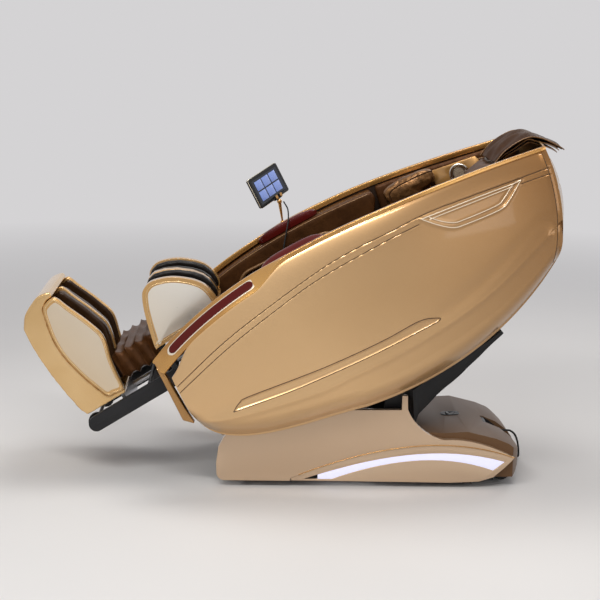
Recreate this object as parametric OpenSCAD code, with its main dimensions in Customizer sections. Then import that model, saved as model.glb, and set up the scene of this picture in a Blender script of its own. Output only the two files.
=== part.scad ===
/* [Shell] */
// Half width of the shell at the armrests
shell_half_w = 390; // [360:5:420]
// How much narrower each side is at the head end
shell_bow = 100; // [60:5:110]
// Wall of the moulded side panels
panel_t = 6; // [4:1:9]
// Height of the gold rim that caps each side panel
rim_h = 20; // [12:1:28]
// Width of the gold band on the front of each side
band_w = 66; // [50:2:72]
// Bulge of the back shell between the side panels
back_bulge = 42; // [20:2:60]

/* [Seat] */
// Rise of the seat towards the knees, in degrees
seat_slope = 20; // [16:1:22]
// Lean of the backrest above the horizontal, in degrees
back_slope = 46; // [44:1:48]
// Thickness of the seat cushion
seat_t = 72; // [60:2:80]
// Thickness of the back pad
back_t = 58; // [50:2:62]
// Half width of the seat cushion
seat_half_w = 244; // [220:2:248]
// Half width of the back pad
back_half_w = 226; // [200:2:228]

/* [Base] */
// Outer half width of the base covers
base_half_w = 262; // [254:2:270]
// Height of the rubber feet
foot_h = 12; // [8:1:16]
// Radius of the rubber feet
foot_r = 22; // [16:1:26]
// Radius of the transport wheels
roll_r = 26; // [20:1:28]
// Radius of the tilt shaft
tilt_r = 15; // [12:1:18]
// Wall of the moulded base covers
cover_t = 12; // [8:1:14]

/* [Leg rest] */
// Slope of the raised leg rest, in degrees
leg_slope = 32; // [28:1:36]
// Outer half width of the calf unit
calf_half_w = 208; // [200:2:210]
// Outer half width of the foot unit
sole_half_w = 204; // [196:2:210]
// Width of each foot well between its liners
well_w = 112; // [100:2:118]
// Radius of the knee shaft
knee_r = 10; // [8:1:12]
// Radius of the wheels at the end of the leg rails
rail_wheel_r = 29; // [27:1:32]
// Radius of the foot slide rods
rod_r = 10; // [8:1:12]

/* [Tablet] */
// Width of the tablet
tablet_w = 172; // [150:2:200]
// Height of the tablet
tablet_h = 110; // [95:1:120]
// Thickness of the tablet
tablet_t = 13; // [10:1:16]
// Turn of the tablet towards the sitter, in degrees
tablet_turn = 50; // [35:1:60]

/* [Hidden] */
$fn = 64;

// Running clearance of a shaft in its bore, and the gap between neighbours that don't move together
run_gap = 0.05;
seat_gap = 0.3;

// Colours
pearl_gold = [0.80, 0.66, 0.46];
pearl_beige = [0.80, 0.72, 0.62];
rim_gold = [0.80, 0.52, 0.20];
maroon = [0.28, 0.04, 0.03];
brown_leather = [0.36, 0.20, 0.09];
black_leather = [0.05, 0.04, 0.04];
black_paint = [0.06, 0.06, 0.07];
rubber_black = [0.03, 0.03, 0.03];
steel = [0.70, 0.70, 0.72];
led_white = [0.95, 0.95, 1.0];

// Side view outlines: cubic curves through [x, z] points, front of the chair at -x
rim_line = [[-690, 432], [-430, 790], [125, 990], [540, 1132]];
belly_front = [[-542, 238], [-440, 115], [-166, 247], [-2, 288]];
belly_rear = [[-2, 288], [257, 373], [476, 513], [609, 760]];
seam_line = [[540, 1132], [597, 1013], [623, 888], [609, 760]];
fender_line = [[-240, 30], [20, 140], [270, 185], [496, 106]];
led_top_line = [[-194, 27], [30, 105], [250, 150], [464, 91]];
led_low_line = [[-104, 28], [60, 90], [250, 125], [427, 62]];
post_arc = [[139, 266], [160, 215], [205, 175], [262, 164]];
ridge_line = [[262, 164], [340, 172], [430, 142], [496, 106]];

// Axes of the joints, as [x, z]
tilt_axis = [100, 330];
knee_axis = [-500, 540];
hip = [-80, 470];
transport_axis = [470, 5 + roll_r];
actuator_foot = [0, 80];
actuator_head = [-330, 330];

function bez(p, t) = let (u = 1 - t) u*u*u*p[0] + 3*u*u*t*p[1] + 3*u*t*t*p[2] + t*t*t*p[3];
function curve(p, n) = [for (i = [0:n]) bez(p, i/n)];
function reversed(v) = [for (i = [len(v) - 1:-1:0]) v[i]];
function unit(v) = v / norm(v);
function mix(a, b, t) = a + (b - a)*t;
function smooth(t) = let (c = max(0, min(1, t))) c*c*(3 - 2*c);
// Left normal of a curve, pointing up for a curve that runs towards +x
function bez_normal(p, t) =
    let (d = unit(bez(p, min(1, t + 0.01)) - bez(p, max(0, t - 0.01)))) [-d[1], d[0]];
// Point at a distance above (+) or below (-) the rim line
function rim_at(t, off) = bez(rim_line, t) + off*bez_normal(rim_line, t);
function half_w(x) = shell_half_w - shell_bow*smooth((x + 50)/650);
function belly_at(t) = t < 0.5 ? bez(belly_front, 2*t) : bez(belly_rear, 2*t - 1);

// Solid through closed loops of k points (k even); each loop pairs point j with point k-1-j at its ends
module sweep(loops) {
    k = len(loops[0]);
    n = len(loops) - 1;
    side = [for (i = [0:n - 1], j = [0:k - 1], h = [0, 1])
        let (a = i*k + j, b = i*k + (j + 1) % k, c = b + k, d = a + k) h == 0 ? [a, b, c] : [a, c, d]];
    first = [for (j = [0:k/2 - 2], h = [0, 1])
        h == 0 ? [j + 1, j, k - 1 - j] : [j + 1, k - 1 - j, k - 2 - j]];
    last = [for (f = first) [f[2] + n*k, f[1] + n*k, f[0] + n*k]];
    polyhedron([for (loop = loops, p = loop) p], concat(side, first, last));
}

// Side view profile swept across the width from y0 to y1
module slab(y0, y1) {
    translate([0, y1, 0]) rotate([90, 0, 0]) linear_extrude(y1 - y0) children();
}
module both_sides() {
    children();
    mirror([0, 1, 0]) children();
}
module rod_y(at, r, y0, y1) {
    translate([at[0], y0, at[1]]) rotate([-90, 0, 0]) cylinder(r = r, h = y1 - y0);
}

// ---------------------------------------------------------------- base
rail_y = 200;
rail_w = 36;
rail_h = 40;
rail_z = foot_h;
tower_w = 12;
chassis_l = 440;
cross_y = rail_y - rail_w + 3;
lug_w = 12;
lug_gap = 12;
tower_y = rail_y;
lug_y = tower_y + tower_w + lug_gap;
actuator_pin_r = 8;
axle_r = 6;
axle_ear_y = 148;

module bar_x(x0, x1, y, z, w, h) {
    translate([x0, y - w/2, z]) cube([x1 - x0, w, h]);
}
module outrigger(x, wall, lift, h) {
    translate([x, rail_y - 1, rail_z + lift]) cube([30, base_half_w - wall - seat_gap - rail_y + 1, h]);
}
module tower_profile() {
    difference() {
        union() {
            polygon([[30, rail_z + rail_h/2], [170, rail_z + rail_h/2], [134, 250], tilt_axis + [28, 0],
                tilt_axis - [28, 0], [66, 250]]);
            translate(tilt_axis) circle(r = tilt_r + 14);
        }
        translate(tilt_axis) circle(r = tilt_r + run_gap);
    }
}
module base_chassis() {
    color(black_paint) {
        both_sides() {
            bar_x(-chassis_l, chassis_l, rail_y - rail_w/2 + 1, rail_z, rail_w, rail_h);
            // Outriggers that the covers bolt to
            outrigger(-400, cover_t, 10, 20);
            outrigger(330, lower_in, 1, deck_low - seat_gap - rail_z - 1);
            slab(tower_y, tower_y + tower_w) tower_profile();
        }
        // Cross tubes; the middle one carries the clevis of the recline actuator
        for (x = [-chassis_l, actuator_foot[0] - rail_h/2, chassis_l - rail_h])
            translate([x, -cross_y, rail_z]) cube([rail_h, 2*cross_y, rail_h]);
        both_sides() slab(24, 32) {
            translate(actuator_foot) circle(r = 20);
            translate([actuator_foot[0] - 20, rail_z + rail_h - 2])
                square([40, actuator_foot[1] - rail_z - rail_h + 2]);
        }
        rod_y(actuator_foot, actuator_pin_r, -30, 30);
        // Ears of the transport wheels' axle
        both_sides() slab(axle_ear_y, axle_ear_y + 8) difference() {
            union() {
                polygon([[chassis_l - rail_h + 2, rail_z + 2], [chassis_l - rail_h + 2, rail_z + rail_h - 2],
                    transport_axis + [0, 15], transport_axis - [0, 15]]);
                translate(transport_axis) circle(r = 15);
            }
            translate(transport_axis) circle(r = axle_r + run_gap);
        }
    }
}
module rubber_feet() {
    color(rubber_black) {
        for (x = [-chassis_l + 60, chassis_l - 90], y = [-1, 1])
            translate([x, y*(rail_y - rail_w/2 - 2), 0]) cylinder(r = foot_r, h = foot_h);
        cylinder(r = foot_r, h = foot_h);
    }
}
module cover_profile() {
    polygon(concat(
        [[-240, 21], [-444, 21]],
        [for (a = [0:15:75]) [-455 - 27*sin(a), 48 - 27*cos(a)]],
        [[-483, 77], [-476, 134], [-458, 168], [-432, 196], [-380, 214], [-150, 262], [119, 264], [119, 312],
            [137, 312]],
        curve(post_arc, 8),
        curve(ridge_line, 8),
        reversed(curve(fender_line, 16))
    ));
}
cover_d = 24;
module base_cover() {
    color(pearl_beige) difference() {
        slab(-base_half_w, -base_half_w + cover_d) cover_profile();
        // Open behind the outer wall, down to the floor
        slab(-base_half_w + cover_t, -base_half_w + cover_d + 1) translate([0, -cover_t]) cover_profile();
    }
}
module led_profile() {
    polygon(concat(curve(led_top_line, 16), reversed(curve(led_low_line, 16))));
}
module lower_profile() {
    polygon(concat(
        [for (p = curve(fender_line, 16)) p - [0, 1]],
        [[490, 96], [465, 70], [429, 38], [383, 23], [290, 18], [-236, 21]]
    ));
}
lower_in = 15;
module lower_panels() {
    color(pearl_beige) both_sides() slab(-base_half_w + 3, -base_half_w + lower_in) difference() {
        lower_profile();
        offset(delta = seat_gap) led_profile();
    }
}
module led_strips() {
    color(led_white) both_sides() slab(-base_half_w + 2, -base_half_w + 12) intersection() {
        led_profile();
        translate([-150, 0]) square([620, 200]);
    }
}
deck_r = 600;
deck_half_w = base_half_w - cover_d - seat_gap;
deck_low = 34;
deck_top = [[150, 186], [262, 181], [345, 186], [438, 164], [480, 147], [520, 118], [540, 92], [545, 72]];
module deck_profile(t) {
    polygon(concat([for (p = deck_top) p - [t*0.9, t]], [[535 - t, 50], [500, deck_low], [150, deck_low]]));
}
module deck_body(t) {
    intersection() {
        slab(-deck_half_w + t, deck_half_w - t) deck_profile(t);
        translate([545 - deck_r, 0, 0]) cylinder(r = deck_r - t, h = 260, $fn = 180);
    }
}
recess = [[426, 168], [426, 112], [506, 84], [560, 84], [560, 200], [426, 200]];
module rear_deck() {
    color(pearl_beige) difference() {
        deck_body(0);
        difference() {
            translate([-1, 0, -1]) deck_body(5);
            // Walls of the socket recess
            slab(-46, 46) translate([-4, -4]) polygon(recess);
        }
        slab(-40, 40) polygon(recess);
        // Rocker switch opening
        translate([switch_at[0] - switch_l/2 - 1, -switch_w/2 - seat_gap, 150])
            cube([switch_l + 2, switch_w + 2*seat_gap, 60]);
        // Room for the tilt towers and the wheels
        translate([100, -deck_half_w - 1, 0]) cube([90, 2*deck_half_w + 2, 150]);
    }
}
switch_l = 28;
switch_w = 22;
switch_at = [315, 183];
module inlet_socket() {
    color(black_paint) difference() {
        union() {
            slab(-38, 38) polygon([[427, 112.2], [437, 108.7], [437, 162], [427, 164]]);
            slab(-38, 38) polygon([[430, 111.2], [500, 86.7], [500, 90.5], [434, 113.6]]);
        }
        translate([430, -17, 116]) cube([20, 34, 20]);
    }
}
module power_switch() {
    color(black_paint) slab(-switch_w/2, switch_w/2) translate(switch_at) rotate(-6) {
        polygon([[-14, 4], [0, 1], [14, 6], [14, -2], [-14, -2]]);
        // Round back that turns on its pin
        intersection() {
            circle(r = 7);
            translate([-8, -8]) square([16, 8]);
        }
    }
}
module wheel_axle() {
    color(steel) rod_y(transport_axis, axle_r, -192, 192);
}
module roller(at, r, bore, y0, y1) {
    translate([at[0], y0, at[1]]) rotate([-90, 0, 0]) rotate_extrude()
        polygon([[bore, 0], [r - 3, 0], [r, 3], [r, y1 - y0 - 3], [r - 3, y1 - y0], [bore, y1 - y0]]);
}
module transport_wheels() {
    color(rubber_black) both_sides()
        roller(transport_axis, roll_r, axle_r + run_gap, axle_ear_y + 10, axle_ear_y + 34);
}
module pivot_shaft() {
    color(steel) rod_y(tilt_axis, tilt_r, -lug_y - lug_w - 4, lug_y + lug_w + 4);
}
boot_half_w = 225;
boot_low = [[156, 186], [164, 185.7], [176, 236], [234, 302], [322, 384], [388, 455], [437, 505],
    [450, 519]];
boot_high = [[440, 526], [399, 489], [330, 442], [230, 372], [156, 320]];
module tilt_boot() {
    color(black_leather) difference() {
        slab(-boot_half_w, boot_half_w) polygon(concat(boot_low, boot_high));
        slab(-boot_half_w + 5, boot_half_w - 5) polygon(concat(
            [[161, 192]],
            [for (i = [2:6]) boot_low[i] + [-4, 5]],
            [[398, 480], [332, 435], [232, 366], [161, 318]]
        ));
    }
}

// ---------------------------------------------------------------- recline actuator
stroke_dir = unit(actuator_head - actuator_foot);
stroke_ang = atan2(stroke_dir[1], stroke_dir[0]);
stroke_len = norm(actuator_head - actuator_foot);
rod_pin_r = 8;
rod_bush = 6;
module along_stroke(at = 0) {
    translate([actuator_foot[0], 0, actuator_foot[1]]) rotate([0, -stroke_ang, 0]) translate([at, 0, 0])
        rotate([0, 90, 0]) children();
}
module actuator_tube() {
    color(black_paint) difference() {
        union() {
            rod_y(actuator_foot, 18, -22, 22);
            along_stroke(12) cylinder(r = 20, h = 60);
            along_stroke(71) cylinder(r = 18, h = 160);
            // Motor beside the tube
            translate([0, 46, 0]) along_stroke(46) cylinder(r = 20, h = 110);
            translate([0, 24, 0]) along_stroke(38) cylinder(r = 16, h = 30);
        }
        rod_y(actuator_foot, actuator_pin_r + run_gap, -50, 90);
        along_stroke(36) cylinder(r = 11 + run_gap, h = 300);
    }
}
module actuator_rod() {
    color(steel) difference() {
        union() {
            along_stroke(138) cylinder(r = 11, h = stroke_len - 153);
            rod_y(actuator_head, 22, -12, 12);
        }
        rod_y(actuator_head, rod_pin_r + rod_bush, -20, 20);
    }
}

// ---------------------------------------------------------------- mains cord
cord_d = 7;
cord_z = cord_d/2 + 0.3;
cord_route = [[488, 0, 126], [496, 0, 126], [512, 2, 126], [530, 8, 122], [548, 18, 106], [560, 30, 80],
    [568, 44, 50], [573, 60, 22], [574, 80, 8], [572, 105, cord_z], [564, 140, cord_z], [545, 185, cord_z],
    [510, 232, cord_z], [462, 270, cord_z], [405, 296, cord_z], [340, 312, cord_z], [270, 320, cord_z],
    [200, 322, cord_z], [130, 322, cord_z], [60, 322, cord_z], [7, 322, cord_z], [0, 322, cord_z]];
function tangent(r, i) = unit(r[min(i + 1, len(r) - 1)] - r[max(i - 1, 0)]);
function ring(c, t, r, sides) =
    let (up = abs(t[2]) > 0.9 ? [1, 0, 0] : [0, 0, 1], a = unit(cross(t, up)), b = cross(a, t))
    [for (j = [0:sides - 1]) c + r*cos(360*j/sides)*a + r*sin(360*j/sides)*b];
module tube(route, d, sides) {
    sweep([for (i = [0:len(route) - 1]) ring(route[i], tangent(route, i), d/2, sides)]);
}
// A smooth run through the chosen points
function hermite(r, i, t) =
    let (a = r[i], b = r[i + 1], m0 = (b - r[max(i - 1, 0)])/2, m1 = (r[min(i + 2, len(r) - 1)] - a)/2,
        s = t*t, c = t*t*t)
    (2*c - 3*s + 1)*a + (c - 2*s + t)*m0 + (3*s - 2*c)*b + (c - s)*m1;
function softened(r, n) =
    concat([for (i = [0:len(r) - 2], k = [0:n - 1]) hermite(r, i, k/n)], [r[len(r) - 1]]);

// Piled loops: in by one and a half turns, a climb, and out again
coil_turns = 3;
coil_pitch = 8.4;
coil_out = 42;
coil_lift = 8.2;
coil_rings = 24;
coil_c = [0, 322 - coil_out, cord_z];
function coil_r(t) = coil_out - coil_pitch*(t < coil_turns/2 ? t : coil_turns - t);
function coil_z(t) = coil_lift*smooth((t - coil_turns/2 + 0.25)/0.5);
function coil_pt(t) = coil_c + [-coil_r(t)*sin(360*t), coil_r(t)*cos(360*t), coil_z(t)];
tail = [[-12, 322, cord_z + coil_lift], [-34, 323, cord_z + coil_lift - 2], [-60, 324, cord_z + 4],
    [-84, 324, cord_z + 2], [-91, 324, cord_z + 2]];
coil_path = concat([[0, 322, cord_z]], [for (i = [1:coil_turns*coil_rings]) coil_pt(i/coil_rings)], tail);
function coil_gap() = min([for (i = [0:2:coil_turns*coil_rings - coil_rings/2 - 1],
    j = [i + coil_rings/2:1:coil_turns*coil_rings]) norm(coil_path[i] - coil_path[j])]) - cord_d;
echo(coil_self_gap = coil_gap());
module mains_cord() {
    color(rubber_black) tube(softened(cord_route, 2), cord_d, 8);
}
module mains_coil() {
    color(rubber_black) tube(coil_path, cord_d, 6);
}
module inlet_connector() {
    color(rubber_black) union() {
        translate([437.4, -15, 115]) cube([35, 30, 22]);
        translate([472, 0, 126]) rotate([0, 90, 0]) cylinder(r1 = 9, r2 = 5.5, h = 16, $fn = 32);
    }
}
module mains_plug() {
    color(rubber_black) {
        translate([-91, 324, cord_z + 2]) rotate([0, -90, 0]) cylinder(r1 = 5.5, r2 = 8, h = 20, $fn = 32);
        translate([-141, 306, 0.3]) cube([32, 36, 20]);
        for (y = [314, 334]) translate([-159, y, 10]) rotate([0, 90, 0]) cylinder(r = 2.4, h = 18, $fn = 24);
    }
}

// ---------------------------------------------------------------- tilting shell
frame_y = lug_y + lug_w;
back_dir = [cos(back_slope), sin(back_slope)];
back_up = [-sin(back_slope), cos(back_slope)];
seat_dir = [-cos(seat_slope), sin(seat_slope)];
seat_up = [sin(seat_slope), cos(seat_slope)];
// Point a distance s along the backrest or the seat and d behind its surface
function back_at(s, d) = hip + s*back_dir - d*back_up;
function seat_at(s, d) = hip + s*seat_dir - d*seat_up;
frame_path = [seat_at(385, seat_t + 24), seat_at(20, seat_t + 24), back_at(40, back_t + 40),
    back_at(700, back_t + 40)];
tube_h = 34;
post_r = 14;
back_tubes = [22, 688];
rail_in = 128;
rail_out = 150;
rail_d = back_t + 62;
module link(a, b, h) {
    translate(a) rotate(atan2(b[1] - a[1], b[0] - a[0])) translate([0, -h/2]) square([norm(b - a), h]);
    translate(a) circle(d = h + 2);
    translate(b) circle(d = h + 2);
}
module side_member() {
    difference() {
        union() {
            for (i = [0:len(frame_path) - 2]) link(frame_path[i], frame_path[i + 1], tube_h);
            // Ear that hangs on the tilt shaft
            polygon([tilt_axis + [-28, 8], tilt_axis + [28, 8], back_at(170, back_t + 40), frame_path[2],
                frame_path[1]]);
            translate(tilt_axis) circle(r = tilt_r + 14);
            // Ear that carries the knee shaft
            link(frame_path[0], knee_axis, 32);
        }
        translate(tilt_axis) circle(r = tilt_r + run_gap);
        translate(knee_axis) circle(r = knee_r + run_gap);
    }
}
module body_frame() {
    color(black_paint) {
        both_sides() slab(lug_y, frame_y) side_member();
        // Cross tubes under the seat cushion and behind the back pad
        for (s = [330, 120]) rod_y(seat_at(s, seat_t + 13 + seat_gap), 13, -lug_y - 1, lug_y + 1);
        for (s = back_tubes) {
            rod_y(back_at(s, back_t + 16 + seat_gap), 16, -lug_y - 1, lug_y + 1);
            // Brackets of the guide rails
            back_frame_local() both_sides() translate([s - 9, rail_in + 1, -rail_d + 16 + seat_gap])
                cube([18, rail_out - rail_in - 2, 22]);
        }
        // Clevis for the head of the recline actuator
        both_sides() slab(15, 23) {
            translate(actuator_head) circle(r = 17);
            polygon([actuator_head + [-16, 0], actuator_head + [16, 0], seat_at(304, seat_t + 16),
                seat_at(346, seat_t + 16)]);
        }
        rod_y(actuator_head, rod_pin_r, -22, 22);
        // Posts that the armrests and the side walls of the shell bolt to
        both_sides() {
            rod_y(seat_at(200, seat_t + 24), post_r, frame_y - 1, arm_in - seat_gap);
            for (t = [0.67, 0.79]) let (c = frame_cross(t))
                rod_y([c[0], c[1]], post_r, frame_y - 1,
                    half_w(c[0] + post_r) - panel_in(t, c[2]) - panel_t - seat_gap);
        }
    }
}
module back_frame_local() {
    // x runs up the backrest, z out of its surface
    translate([hip[0], 0, hip[1]]) rotate([0, -back_slope, 0]) children();
}
module guide_rails() {
    color(steel) back_frame_local() both_sides() difference() {
        translate([10, rail_in, -rail_d - 16]) cube([690, rail_out - rail_in, 32]);
        translate([9, rail_in - 1, -rail_d - 10 ]) cube([692, rail_out - rail_in - 5, 20]);
    }
}

// Moulded wall of one side: its cross-section curls in at the belly and at the rim
belly_curl = 78;
belly_in = 66;
panel_stations = 26;
panel_rows = 12;
function row_at(j) = let (t = j/panel_rows) t < 0.5 ? 0.5*pow(2*t, 1.8) : 1 - 0.5*pow(2 - 2*t, 1.8);
function seam_bulge(t) = 22*smooth((t - 0.72)/0.28);
function panel_xz(t, v) =
    let (b = belly_at(t), r = rim_at(t, -rim_h) + (1 - smooth(t/0.12))*[30, -14], across = unit(r - b))
    mix(b, r, v) + 4*v*(1 - v)*seam_bulge(t)*[across[1], -across[0]];
function panel_in(t, v) =
    let (len = norm(rim_at(t, -rim_h) - belly_at(t)), lo = max(0, 1 - v*len/belly_curl),
        hi = max(0, 1 - (1 - v)*len/40))
    belly_in*lo*lo + 9*hi*hi + 10*pow(2*v - 1, 2);
function panel_pt(t, v, deep) =
    let (p = panel_xz(t, v)) [p[0], -half_w(p[0]) + panel_in(t, v) + deep, p[1]];
// Where the run across a side wall at t passes the frame's back member: [x, z, v]
function frame_cross(t) =
    let (b = belly_at(t), a = rim_at(t, -rim_h) - b, c = back_at(0, back_t + 40) - b,
        v = (c[0]*back_dir[1] - c[1]*back_dir[0])/(a[0]*back_dir[1] - a[1]*back_dir[0]))
    concat(b + v*a, [v]);
module side_panel() {
    color(pearl_gold) sweep([for (i = [0:panel_stations]) let (t = i/panel_stations) concat(
        [for (j = [0:panel_rows]) panel_pt(t, row_at(j), 0)],
        [for (j = [panel_rows:-1:0]) panel_pt(t, row_at(j), panel_t)]
    )]);
}
// Strip that follows the rim: from t0 to t1 along it, y_out to y_in across, lo to hi above it
module rim_strip(t0, t1, y_out, y_in, lo, hi, n = 20) {
    sweep([for (i = [0:n]) let (t = mix(t0, t1, i/n), a = rim_at(t, lo), b = rim_at(t, hi),
        w = -half_w(bez(rim_line, t)[0]))
        [[a[0], w + y_out, a[1]], [b[0], w + y_out, b[1]], [b[0], w + y_in, b[1]], [a[0], w + y_in, a[1]]]]);
}
band_end = 0.34;
rim_in = 40;
module rim_trims() {
    color(rim_gold) both_sides() {
        rim_strip(0, band_end, 14, band_w, -rim_h + seat_gap, 0, 14);
        rim_strip(band_end, 1, 14, rim_in, -rim_h + seat_gap, 0, 24);
    }
}
module inset_strips() {
    color(maroon) both_sides() rim_strip(0.05, 0.3, 26, band_w - 10, seat_gap, 3, 14);
}
module front_caps() {
    color(rim_gold) both_sides() slab(-shell_half_w + 27, -shell_half_w + band_w)
        polygon([[-674.3, 420], [-588, 249], [-550, 239], [-648, 405]]);
}

// Armrest: a padded block with a trough for the forearm, open towards the sitter
arm_in = 256;
arm_out = shell_half_w - 24;
arm_slope = 28;
trough = [-232, 648];
trough_l = 380;
trough_h = 96;
module trough_profile(l, h) {
    translate(trough) rotate(arm_slope) hull() for (s = [-1, 1])
        translate([s*(l - h)/2, 0]) circle(d = h, $fn = 32);
}
module arm_profile() {
    polygon(concat(
        [for (i = [0:14]) rim_at(mix(0.14, 0.62, i/14), -rim_h - 6)],
        [[60, 895], [50, 700], [-80, 505], [-400, 400], [-556, 356]]
    ));
}
module armrest() {
    color(brown_leather) difference() {
        slab(-arm_out + 4, -arm_in) arm_profile();
        slab(-arm_out + 26, -arm_in + 1) trough_profile(trough_l, trough_h);
    }
}
module arm_plates() {
    color(maroon) both_sides()
        rim_strip(0.36, 0.58, shell_half_w - arm_out + 20, 118, -rim_h - 5.7, -rim_h + 4, 12);
}
// Padded wall from the armrest up to the head
module side_liner() {
    n = 16;
    color(brown_leather) sweep([for (i = [0:n]) let (t = mix(0.635, 0.985, i/n), top = rim_at(t, -rim_h - 4),
        low = top + [60, -150 - 40*(1 - i/n)], w = -half_w(top[0]), wl = -half_w(low[0]))
        [[low[0], wl + liner_out, low[1]], [top[0], w + liner_out, top[1]], [top[0], w + liner_in, top[1]],
            [low[0], wl + liner_in, low[1]]]]);
}
liner_in = 58;
liner_out = 24.1;
// How far the curved wall strays from a flat face that touches it, a distance r away
function wall_sag(x, r) = half_w(x) - (half_w(x - r) + half_w(x + r))/2;
// Moves what is drawn on the plane y = 0 onto the inner face of the side wall at x
module on_side(x) {
    turn = atan2(half_w(x - 20) - half_w(x + 20), 40);
    translate([x, -half_w(x) + liner_in, 0]) rotate([0, 0, turn]) translate([-x, 0, 0]) children();
}
pod_at = [352, 988];
pod_t = 20;
module pod_place() {
    on_side(pod_at[0]) translate([pod_at[0], pod_t + max(0, wall_sag(pod_at[0], 80)) + seat_gap, pod_at[1]])
        rotate([90, 0, 0]) rotate([0, 0, 17]) children();
}
module speaker_pods() {
    color(pearl_gold) both_sides() pod_place() difference() {
        linear_extrude(pod_t) polygon([[-86, -34], [-60, -52], [64, -44], [88, 10], [70, 44], [-96, 32]]);
        translate([0, 0, -1]) cylinder(r = 27, h = 12);
    }
}
module speaker_rings() {
    color(steel) both_sides() pod_place() rotate_extrude()
        polygon([[20, 10.7], [26.7, 10.7], [26.7, -seat_gap], [32, -seat_gap], [29, -5], [22, -5]]);
}
module speaker_grilles() {
    color(black_paint) both_sides() pod_place() translate([0, 0, 3]) difference() {
        cylinder(r = 19.7, h = 7.7);
        for (k = [1:2], a = [0:60/k:359])
            rotate(a) translate([6.5*k, 0, -1]) cylinder(r = 1.6, h = 6, $fn = 16);
    }
}
function area(o) = [for (a = 0, i = 0; i <= len(o);
    a = i < len(o) ? a + o[i][0]*o[(i + 1) % len(o)][1] - o[(i + 1) % len(o)][0]*o[i][1] : a, i = i + 1) a][len(o)];
// Stuffed shape: the outline, swollen to full size at mid thickness and drawn in at both faces
module puff(drawn, y0, y1, draw) {
    outline = area(drawn) > 0 ? drawn : reversed(drawn);
    c = [for (k = [0, 1]) (max([for (p = outline) p[k]]) + min([for (p = outline) p[k]]))/2];
    size = norm([for (k = [0, 1]) max([for (p = outline) p[k]]) - min([for (p = outline) p[k]])])/2;
    steps = [[0, 1], [0.12, 0.45], [0.3, 0.1], [0.5, 0], [0.7, 0.1], [0.88, 0.45], [1, 1]];
    sweep([for (s = steps) [for (p = outline) let (q = c + (p - c)*(1 - s[1]*draw/size))
        [q[0], mix(y0, y1, s[0]), q[1]]]]);
}
function oval(c, a, b, ang, n = 24) = [for (i = [0:n - 1]) let (t = 360*i/n, k = 2/3.2)
    let (x = a*sign(cos(t))*pow(abs(cos(t)), k), z = b*sign(sin(t))*pow(abs(sin(t)), k))
    [c[0] + x*cos(ang) - z*sin(ang), c[1] + x*sin(ang) + z*cos(ang)]];
bag_at = [186, 908];
module shoulder_airbag() {
    color(brown_leather) {
        on_side(bag_at[0]) {
            puff(oval(bag_at + [0, 34], 98, 34, 29), 34, 86, 14);
            puff(oval(bag_at + [-8, -40], 92, 36, 29), 34, 84, 14);
            // Root that carries both pads on the side wall
            slab(max(0, wall_sag(bag_at[0], 100)) + seat_gap, 44) polygon(oval(bag_at, 84, 60, 29, 20));
        }
    }
}

// Shell closed behind the head and under the back
shell_rows = 16;
function shell_line(v) = v < 0.6 ? bez(seam_line, v/0.6) : bez(belly_rear, 1 - (v - 0.6)/0.4*0.42);
function shell_out(v) =
    let (d = unit(shell_line(min(1, v + 0.01)) - shell_line(max(0, v - 0.01)))) [-d[1], d[0]];
// Fits between the side walls, and at its top between the rims
function shell_in(v) =
    let (low = belly_at(1)[1], w = (shell_line(v)[1] - low)/(rim_at(1, -rim_h)[1] - low),
        curl = max([for (d = [-0.06, 0, 0.04]) panel_in(1, max(0, min(1, w + d)))]) + panel_t)
    max(curl, v < 0.1 ? rim_in : 0) + seat_gap;
function shell_w(v) = half_w(shell_line(v)[0]) - shell_in(v);
function shell_pt(v, u, deep) =
    let (p = shell_line(v) + (back_bulge*(1 - u*u)*sin(180*min(1, v/0.7 + 0.1)) - deep)*shell_out(v))
    [p[0], u*shell_w(v), p[1]];
module back_shell() {
    n = 10;
    color(pearl_gold) sweep([for (i = [0:n]) let (u = 1 - 2*i/n) concat(
        [for (j = [0:shell_rows]) shell_pt(j/shell_rows, u, 0)],
        [for (j = [shell_rows:-1:0]) shell_pt(j/shell_rows, u, 5)]
    )]);
}

// Cushion along a straight run: crowned across, drawn in at its edges, with sewn channels across it
pad_rows = 10;
function pad_section(w, h, crown, groove) = concat(
    [for (j = [0:pad_rows]) let (u = 2*j/pad_rows - 1)
        [u*w, abs(u) == 1 ? h*0.3 : h + crown*(1 - pow(u, 4)) - (abs(u) > 0.75 ? 5 : 0) - groove]],
    [for (j = [pad_rows:-1:0]) let (u = 2*j/pad_rows - 1, edge = abs(u) == 1)
        [u*w*(edge ? 1 : 0.98), edge ? -h*0.3 : -h]]
);
pad_crown = 8;
module cushion(l, w, t, crown, channels, groove) {
    ends = [[0, 0.55], [8, 0.9], [20, 1]];
    mids = [for (c = [1:channels - 1]) l*c/channels];
    stations = concat(
        [for (e = ends) [e[0], e[1], 0]],
        [for (m = mids, k = [-1:1]) [m + 9*k, 1, k == 0 ? groove : 0]],
        [for (e = reversed(ends)) [l - e[0], e[1], 0]]
    );
    sweep([for (s = stations) [for (q = pad_section(w, t/2*s[1], crown*s[1], s[2]))
        [s[0], q[0], q[1] - t/2]]]);
}
module seat_cushion() {
    color(brown_leather) translate([hip[0], 0, hip[1]]) rotate([0, 180 + seat_slope, 0]) mirror([0, 0, 1])
        translate([4, 0, 0]) cushion(326, seat_half_w, seat_t, pad_crown, 4, 7);
}
back_l = 700;
module back_pad() {
    color(brown_leather) back_frame_local() translate([4, 0, 0])
        cushion(back_l, back_half_w, back_t, pad_crown, 7, 7);
}
pillow_t = 46;
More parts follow.
